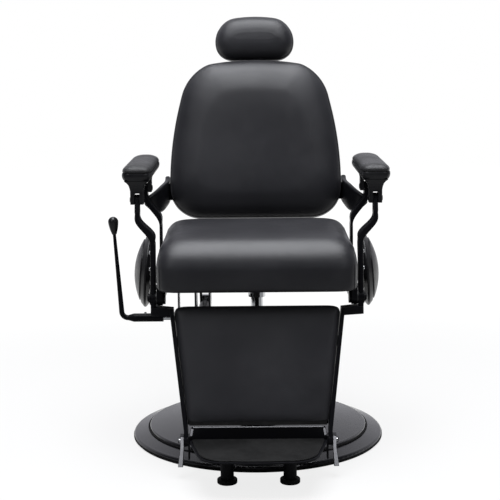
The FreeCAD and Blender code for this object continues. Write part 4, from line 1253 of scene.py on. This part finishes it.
@dataclass
class ArmPad(LevelCushion):
    """A moulded arm pad with an upright foot and a domed top; it is cast, so nothing is filled or sewn."""

    finish: Finish = ARM_SKIN
    swelled: bool = False
    steps: int = 20
    fill: float = 0.95
    reach: float = 289.0
    half: float = 35.0
    front: float = -198.0
    rear: float = 134.0
    low: float = 708.3
    height: float = 19.7
    corner: float = 20.0
    rows: Sequence[Sequence[float]] = (
        (0.0, 0.03), (0.2, 0.0), (0.42, 0.03), (0.65, 0.14), (0.84, 0.34), (0.95, 0.57), (0.99, 0.78),
        (1.0, 0.93))

    def profile(self) -> Sequence[Sequence[float]]:
        """Rows of height and inset, from shares of the height and the half width."""
        return [(share * self.height, draw * self.half) for share, draw in self.rows]


@dataclass
class TiltedCushion(Cushion):
    """A cushion on a leaning board: across, up the board and out of its front."""

    foot_y: float = 186.0
    foot_z: float = 549.0
    tilt: float = 12.0
    rear: float = 80.0
    base: float = 0.0
    half: float = 235.5
    height: float = 438.5
    depth: float = 79.7
    rows: Sequence[Sequence[float]] = ()
    seam_share: float = 0.5
    seam_inset: float = 1.6

    def place(self, points: np.ndarray) -> np.ndarray:
        """Sets local points on the leaning board.

        Args:
            points: Local points; their height runs to the front, so it counts down from the rear face.

        Returns:
            Points of the chair in metres.
        """
        lean = math.radians(self.tilt)
        deep = self.rear - points[:, 2]
        rise = self.base + self.height / 2.0 + points[:, 1]
        along = self.foot_y + deep * math.cos(lean) + rise * math.sin(lean)
        up = self.foot_z - deep * math.sin(lean) + rise * math.cos(lean)
        return np.column_stack([points[:, 0], along, up]) * MM

    def profile(self) -> Sequence[Sequence[float]]:
        """Rows of height and inset, from shares of the depth left in front."""
        return [((1.0 - share) * self.depth, inset) for share, inset in self.rows]

    def sew(self, wardrobe: Wardrobe, outline: np.ndarray) -> None:
        """Adds the seam between the front and the side band."""
        self.seam_round(wardrobe, outline, self.seam_share * self.depth, self.seam_inset)


def mirrored(line: np.ndarray) -> np.ndarray:
    """The line on the other side, run the other way."""
    return (line * np.array([-1.0, 1.0]))[::-1]


def split_at(line: np.ndarray, spot: np.ndarray) -> tuple[np.ndarray, np.ndarray]:
    """Cuts a line at its point nearest to a spot.

    Args:
        line: The line.
        spot: Where to cut it.

    Returns:
        The line up to the spot and the line from it.
    """
    index = int(np.argmin(np.linalg.norm(line - spot, axis=1)))
    return line[:index + 1], line[index:]


@dataclass
class RoundTopCushion(TiltedCushion):
    """A leaning cushion with a straight foot, swelling sides and a round top, drawn through a few marks."""

    marks: Sequence[Sequence[float]] = ()
    side_steps: int = 12
    crown_steps: int = 24

    def spot(self, across: float, up: float) -> np.ndarray:
        """A point of the outline from its shares of the half width and the height."""
        return np.array([across * self.half, (up - 0.5) * self.height])

    def sides(self) -> list[np.ndarray]:
        """Draws arcs through each three marks, end to end, and mirrors them under a crown.

        Returns:
            The foot, one side, the top and the other side.
        """
        spots = [self.spot(*mark) for mark in self.marks]
        arcs = [three_point_arc(*spots[i:i + 3], self.side_steps) for i in range(0, len(spots) - 2, 2)]
        half = np.vstack([arcs[0]] + [arc[1:] for arc in arcs[1:]])
        across, up = self.marks[-1]
        crown = three_point_arc(spots[-1], self.spot(0.0, 1.0), self.spot(-across, up), self.crown_steps)
        toe, rest = split_at(half, spots[1])
        flank, shoulder = split_at(rest, spots[-2])
        foot = np.vstack([mirrored(toe), toe])
        top = np.vstack([shoulder, crown[1:-1], mirrored(shoulder)])
        return [evenly(line, self.steps) for line in (foot, flank, top, mirrored(flank))]


@dataclass
class BackCushion(RoundTopCushion):
    """The tall back cushion with its round shoulders."""

    name: str = "back_pad"
    node: str = "back_cushion"
    body: str = "backrest"
    marks: Sequence[Sequence[float]] = (
        (0.66, 0.0), (0.9, 0.058), (1.0, 0.205), (0.97, 0.475), (0.871, 0.751), (0.757, 0.888), (0.55, 0.974))
    rows: Sequence[Sequence[float]] = (
        (1.0, 8.0), (0.9, 2.0), (0.68, 0.0), (0.49, 3.5), (0.33, 13.0), (0.19, 30.0), (0.1, 54.0),
        (0.05, 85.0), (0.025, 125.0), (0.015, 170.0), (0.012, 200.0))


@dataclass
class HeadCushion(RoundTopCushion):
    """The small rounded headrest cushion."""

    name: str = "headrest_pad"
    node: str = "headrest_cushion"
    body: str = "headrest"
    steps: int = 16
    cap: float = 4.0
    rear: float = 92.0
    base: float = 440.0
    half: float = 108.5
    height: float = 121.0
    depth: float = 71.7
    marks: Sequence[Sequence[float]] = (
        (0.58, 0.0), (0.87, 0.115), (0.995, 0.37), (0.925, 0.68), (0.6, 0.955))
    rows: Sequence[Sequence[float]] = (
        (1.0, 7.0), (0.86, 1.0), (0.66, 0.0), (0.43, 3.0), (0.24, 11.0), (0.11, 23.0), (0.045, 37.0),
        (0.02, 50.0))
    seam_share: float = 0.46
    seam_inset: float = 1.2


@dataclass
class LegCushion(TiltedCushion):
    """The flat leg panel, wider at its top, with small corners and rolled edges."""

    name: str = "legrest_pad"
    node: str = "legrest_cushion"
    body: str = "legrest"
    steps: int = 20
    cap: float = 2.0
    foot_y: float = -345.0
    foot_z: float = 89.0
    tilt: float = 21.57
    rear: float = 2.0
    base: float = 38.0
    half: float = 200.8
    height: float = 282.0
    depth: float = 18.0
    low_half: float = 166.5
    corner: float = 10.0
    rows: Sequence[Sequence[float]] = (
        (1.0, 2.0), (0.72, 0.0), (0.45, 1.5), (0.25, 6.0), (0.12, 15.0), (0.05, 32.0), (0.02, 65.0),
        (0.01, 120.0))
    seam_share: float = 0.34
    seam_inset: float = 0.2

    def sides(self) -> list[np.ndarray]:
        """Draws a panel that narrows downwards.

        Returns:
            Its four sides.
        """
        tall = self.height / 2.0
        corners = ((-self.low_half, -tall), (self.low_half, -tall), (self.half, tall), (-self.half, tall))
        return rounded_sides(corners, self.corner, self.steps)


# Hardware


def box_mm(node: str) -> tuple[np.ndarray, np.ndarray]:
    """The two corners of a frame node's box, in mm."""
    low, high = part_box(node)
    return np.array(low) / MM, np.array(high) / MM


@dataclass
class Hardware:
    """Small turned pieces in mm: rings by bore, radius and height, and heads by radius and height."""

    wardrobe: Wardrobe
    head_sides: int = 40
    ring_sides: int = 64
    head_profile: Sequence[Sequence[float]] = (
        (0.0, 0.0), (0.0, 1.0), (0.55, 1.0), (0.85, 0.9), (1.0, 0.7), (1.0, 0.45), (0.45, 0.45), (0.35, 0.0))
    ease_share: float = 0.25
    shaft_washer: Triple = (11.2, 16.5, 2.2)
    washer_back: float = 5.6
    shaft_head: tuple[float, float] = (8.0, 3.0)
    arm_pin_radius: float = 5.0
    arm_pin_head: tuple[float, float] = (6.8, 2.2)
    foot_pin_head: tuple[float, float] = (7.0, 2.0)
    strut_head: tuple[float, float] = (4.6, 4.0)
    strut_face: float = 258.0
    strut_spots: Sequence[Sequence[float]] = ((-189.0, 515.0), (-194.0, 475.0))
    # The first base ring is black rubber laid at the cover's step: painted shade for the groove there.
    groove_shade_ring: Triple = (283.0, 287.0, 4.6)
    groove_shade_ring_z: float = 25.2
    wiper: Triple = (16.3, 24.0, 5.0)
    grommet: Triple = (48.2, 57.0, 6.0)
    grommet_sink: float = 2.0

    def screw(self, spot: Sequence[float], axis: Sequence[float], radius: float, tall: float,
              ) -> bpy.types.Object:
        """A low round head with a socket.

        Args:
            spot: Where the head sits.
            axis: Direction that the head looks in.
            radius: Radius of the head.
            tall: Height of the head.

        Returns:
            The turned head.
        """
        profile = [(tall * up, radius * out) for up, out in self.head_profile]
        return turned("head", profile, spot, axis, self.head_sides)

    def ring(self, name: str, spot: Sequence[float], axis: Sequence[float], sizes: Triple,
             ) -> bpy.types.Object:
        """A ring with eased edges.

        Args:
            name: The piece's name.
            spot: Middle of its lower face.
            axis: Direction of its axis.
            sizes: Its bore's radius, its outer radius and its height.

        Returns:
            The turned ring.
        """
        bore, radius, tall = sizes
        ease = min(tall, radius - bore) * self.ease_share
        profile = ((0.0, bore), (0.0, radius - ease), (ease, radius), (tall - ease, radius),
                   (tall, radius - ease), (tall, bore + ease), (tall - ease, bore))
        return turned(name, profile, spot, axis, self.ring_sides)

    def shaft_ends(self) -> None:
        """Washers and screws on the four ends of the two cross shafts."""
        for body, node in (("legrest", "legrest_shaft"), ("backrest", "recline_shaft")):
            low, high = box_mm(node)
            _, y, z = (low + high) / 2.0
            parts = []
            for side in SIDES:
                washer_x = side * (high[0] - self.washer_back)
                parts.append(self.ring("washer", (washer_x, y, z), (side, 0, 0), self.shaft_washer))
                parts.append(self.screw((side * high[0], y, z), (side, 0, 0), *self.shaft_head))
            self.wardrobe.put_on(join(f"{node}_ends", parts), SATIN_BLACK, body)

    def arm_pins(self) -> None:
        """Button heads on both ends of each armrest pin."""
        for side, tag in SIDE_TAGS:
            low, high = box_mm(f"armrest_pins_{tag}")
            inner, outer = sorted((low[0], high[0]), key=abs)
            z = (low[2] + high[2]) / 2.0
            parts = []
            for y in (low[1] + self.arm_pin_radius, high[1] - self.arm_pin_radius):
                parts.append(self.screw((outer, y, z), (side, 0, 0), *self.arm_pin_head))
                parts.append(self.screw((inner, y, z), (-side, 0, 0), *self.arm_pin_head))
            self.wardrobe.put_on(join(f"armrest_pin_heads_{tag}", parts), SATIN_BLACK, f"armrest_{tag}")

    def foot_pins(self) -> None:
        """Button heads on the foot plate's hinge pins."""
        low, high = box_mm("foot_pins")
        _, y, z = (low + high) / 2.0
        parts = [self.screw((side * high[0], y, z), (side, 0, 0), *self.foot_pin_head) for side in SIDES]
        self.wardrobe.put_on(join("foot_pin_heads", parts), SATIN_BLACK, "footplate")

    def strut_screws(self) -> None:
        """Two bright screws on the outer side of each front strut."""
        parts = [self.screw((side * self.strut_face, y, z), (side, 0, 0), *self.strut_head)
                 for side in SIDES for y, z in self.strut_spots]
        self.wardrobe.put_on(join("strut_screws", parts), ZINC, "legrest")

    def rubber_rings(self) -> None:
        """A black ring at the base cover's step as painted shade for the groove there, a wiper round the
        piston and a grommet round the pump.
        """
        pump_top = box_mm("pump_head")[1][2]
        cover_top = box_mm("base_disc")[1][2]
        # The first ring is black rubber standing in as painted shade for the groove at the cover's step.
        rings = (("base_groove_shade_ring", self.groove_shade_ring_z, self.groove_shade_ring), ("piston_wiper", pump_top, self.wiper),
                 ("pump_grommet", cover_top - self.grommet_sink, self.grommet))
        for name, z, sizes in rings:
            self.wardrobe.put_on(self.ring(name, (0, 0, z), (0, 0, 1), sizes), RUBBER, "base")

    def build(self) -> None:
        """Builds every small piece."""
        for make in (self.shaft_ends, self.arm_pins, self.foot_pins, self.strut_screws, self.rubber_rings):
            make()


@dataclass
class FootTrim:
    """Pale strips on the foot plate's edges, a painted highlight for the light they catch, and a dark flap in
    the slit above it, painted shade for that slit; sizes and places in mm.
    """

    wardrobe: Wardrobe
    sheet: float = 1.0
    flap_half: float = 163.0
    flap_section: Sequence[Sequence[float]] = (
        (-341.9, 124.3), (-339.9, 124.3), (-337.2, 133.2), (-339.2, 133.9))
    hem_half: float = 154.0
    hem_levels: Sequence[float] = (121.2, 122.9)
    upstand_y: float = -348.0
    end_levels: Sequence[Sequence[float]] = ((101.5, 156.2, 161.2), (118.0, 153.4, 158.4))
    cheek_levels: Sequence[Sequence[float]] = ((30.0, 179.6, 189.6, -362.0), (76.0, 176.6, 183.4, -360.0),
                                               (101.0, 176.6, 183.4, -358.0))

    def level(self, z: float, start: float, end: float, y: float) -> np.ndarray:
        """A thin level from one x to another, laid on a face that looks forward."""
        return np.array([(start, y, z), (end, y, z), (end, y - self.sheet, z), (start, y - self.sheet, z)])

    def flap(self) -> None:
        """A black rubber strip along the lower edge of the leg panel: painted shade for the slit there."""
        ends = [np.array([(side * self.flap_half, y, z) for y, z in self.flap_section]) for side in SIDES]
        self.wardrobe.put_on(slabs("legrest_slit_shade_flap", [ends]), RUBBER, "legrest")

    def edges(self) -> None:
        """Pale strips on the hem and ends of the upstand and on the hinge cheeks: a painted highlight for the
        light these edges catch.
        """
        stacks = [[self.level(z, -self.hem_half, self.hem_half, self.upstand_y) for z in self.hem_levels]]
        for side in SIDES:
            stacks.append([self.level(z, side * start, side * end, self.upstand_y)
                           for z, start, end in self.end_levels])
            stacks.append([self.level(z, side * start, side * end, y)
                           for z, start, end, y in self.cheek_levels])
        self.wardrobe.put_on(slabs("foot_plate_edge_highlights", stacks), PALE_EDGE_HIGHLIGHT, "footplate")

    def build(self) -> None:
        """Builds the flap and the edges."""
        self.flap()
        self.edges()


# Studio


@dataclass(frozen=True)
class Lamp:
    """A soft lamp: where it hangs, where it points, its width and height in metres and its power in watts."""

    name: str
    spot: Triple
    aim: Triple
    size: tuple[float, float]
    power: float

    def hang(self, tint: Triple) -> None:
        """Adds the lamp to the scene.

        Args:
            tint: Colour of its light.
        """
        data = bpy.data.lights.new(self.name, "AREA")
        data.shape = "RECTANGLE"
        data.size, data.size_y = self.size
        data.energy = self.power
        data.color = tint
        made = bpy.data.objects.new(self.name, data)
        made.location = self.spot
        made.rotation_euler = (Vector(self.aim) - Vector(self.spot)).to_track_quat("-Z", "Y").to_euler()
        bpy.context.scene.collection.objects.link(made)


@dataclass
class Studio:
    """Camera, floor, lamps and the white surround; places in metres and turns in degrees."""

    lens: float = 94.71
    sensor: float = 36.0
    eye: Triple = (-0.009, -3.345, 1.0305)
    down: float = 80.797
    turn: float = 0.13
    roll: float = -0.5
    floor_size: float = 14.0
    floor_white: float = 1.05
    floor_shown: float = 0.45
    floor_bounce: float = 0.25
    floor_turn: tuple[float, float] = (-0.3, 0.6)
    shadow_reach: tuple[float, float] = (0.9, 2.2)
    glow_by_chair: float = 0.78
    sky_turn: tuple[float, float] = (0.0, 0.6)
    sky_front: Triple = (0.02, 0.02, 0.022)
    sky_behind: Triple = (0.56, 0.56, 0.6)
    ambient: Triple = (0.26, 0.26, 0.2652)
    lamp_tint: Triple = (0.95, 0.965, 1.0)
    lamps: Sequence[Lamp] = (
        Lamp("overhead", (0.0, -0.3, 3.1), (0.0, -0.15, 0.7), (2.4, 2.6), 200.0),
        Lamp("front_left", (-1.8, -2.6, 2.6), (0.0, 0.1, 0.85), (1.2, 1.4), 16.5),
        Lamp("front_right", (2.1, -2.3, 2.4), (0.0, 0.1, 0.85), (0.9, 1.4), 11.5))

    def camera(self) -> None:
        """Sets the camera where the view was taken from."""
        data = bpy.data.cameras.new("view")
        data.lens = self.lens
        data.sensor_width = self.sensor
        made = bpy.data.objects.new("view", data)
        made.location = self.eye
        level = Euler((math.radians(self.down), 0.0, math.radians(self.turn))).to_matrix()
        made.rotation_euler = (level @ Matrix.Rotation(math.radians(self.roll), 3, "Z")).to_euler()
        bpy.context.scene.collection.objects.link(made)
        bpy.context.scene.camera = made

    def rays(self, net: Wiring) -> tuple[bpy.types.NodeSocket, bpy.types.NodeSocket]:
        """Tells the rays from the camera, and the reflected and passed ones.

        Args:
            net: The node tree to add to.

        Returns:
            A socket that is 1 for camera rays, and one that is 1 for reflected and passed rays.
        """
        path = net.add("LightPath")
        mirror = net.sum("MAXIMUM", path.outputs["Is Glossy Ray"], path.outputs["Is Transmission Ray"])
        return path.outputs["Is Camera Ray"], mirror

    def behind(self, net: Wiring, place: bpy.types.NodeSocket, turn: Sequence[float]) -> bpy.types.NodeSocket:
        """Tells what lies in front of the chair from what lies behind it.

        Args:
            net: The node tree to add to.
            place: Place or direction to judge.
            turn: The Y where the front ends and the Y where the back begins.

        Returns:
            A socket that runs from 0 in front to 1 behind.
        """
        way = net.add("SeparateXYZ")
        net.feed(way.inputs[0], place)
        return net.span(way.outputs["Y"], *turn, 0.0, 1.0)

    def surround(self) -> None:
        """White to the camera; mirrors see it pale behind and dim in front, so that the fronts stay dark."""
        world = bpy.data.worlds.new("surround")
        world.use_nodes = True
        bpy.context.scene.world = world
        net = Wiring(world.node_tree)
        camera, mirror = self.rays(net)
        behind = self.behind(net, net.add("TexCoord").outputs["Generated"], self.sky_turn)
        mirrored_sky = net.mix(behind, (*self.sky_front, 1.0), (*self.sky_behind, 1.0))
        shown = net.mix(camera, mirrored_sky, (1.0, 1.0, 1.0, 1.0))
        colour = net.mix(net.sum("MAXIMUM", camera, mirror), (*self.ambient, 1.0), shown)
        net.feed(net.tree.nodes["Background"].inputs["Color"], colour)

    def floor_paint(self) -> bpy.types.Material:
        """Makes a pale finish that shows the shadow by the chair and runs out into the white.

        Returns:
            The floor's material.
        """
        paint = bpy.data.materials.new("pale_floor")
        paint.use_nodes = True
        net = Wiring(paint.node_tree)
        net.tree.nodes.clear()
        camera, mirror = self.rays(net)
        place = net.add("NewGeometry").outputs["Position"]
        bounce, shown = ((tone, tone, tone, 1.0) for tone in (self.floor_bounce, self.floor_shown))
        matt = net.add("BsdfDiffuse")
        net.feed(matt.inputs["Color"], net.mix(camera, bounce, shown))
        glow = net.add("Emission")
        glow.inputs["Strength"].default_value = self.floor_white
        reach = net.add("VectorMath", operation="LENGTH")
        net.feed(reach.inputs[0], place)
        share = net.span(reach.outputs["Value"], *self.shadow_reach, self.glow_by_chair, 1.0)
        to_camera = net.sum("MULTIPLY", camera, share)
        to_mirrors = net.sum("MULTIPLY", mirror, self.behind(net, place, self.floor_turn))
        both = net.add("MixShader")
        sources = (net.sum("MAXIMUM", to_camera, to_mirrors), matt.outputs[0], glow.outputs[0])
        for socket, source in zip(both.inputs, sources):
            net.feed(socket, source)
        net.feed(net.add("OutputMaterial").inputs["Surface"], both.outputs[0])
        return paint

    def floor(self) -> None:
        """Lays the floor."""
        half = self.floor_size / 2.0
        corners = [(-half, -half, 0), (half, -half, 0), (half, half, 0), (-half, half, 0)]
        mesh = bpy.data.meshes.new("floor")
        mesh.from_pydata(corners, [], [(0, 1, 2, 3)])
        mesh.materials.append(self.floor_paint())
        made = bpy.data.objects.new("floor", mesh)
        bpy.context.scene.collection.objects.link(made)

    def build(self) -> None:
        """Sets up the whole studio."""
        bpy.context.scene.view_settings.view_transform = "Standard"
        self.camera()
        self.surround()
        self.floor()
        for lamp in self.lamps:
            lamp.hang(self.lamp_tint)


def main() -> None:
    """Builds the chair's looks around its frame."""
    logging.basicConfig(level=logging.INFO, format="%(name)s: %(message)s")
    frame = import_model()
    Studio().build()
    wardrobe = Wardrobe(SurfaceEffects().build())
    wardrobe.dress_frame(frame)
    cushions = [SeatCushion(), BackCushion(), HeadCushion(), LegCushion()]
    for side, tag in SIDE_TAGS:
        names = (f"arm_pad_{tag}", f"armrest_pad_{tag}", f"armrest_{tag}")
        cushions.append(ArmPad(*names, middle_x=side * ArmPad.reach))
    for cushion in cushions:
        cushion.build(wardrobe)
    Hardware(wardrobe).build()
    FootTrim(wardrobe).build()


if __name__ == "__main__":
    main()
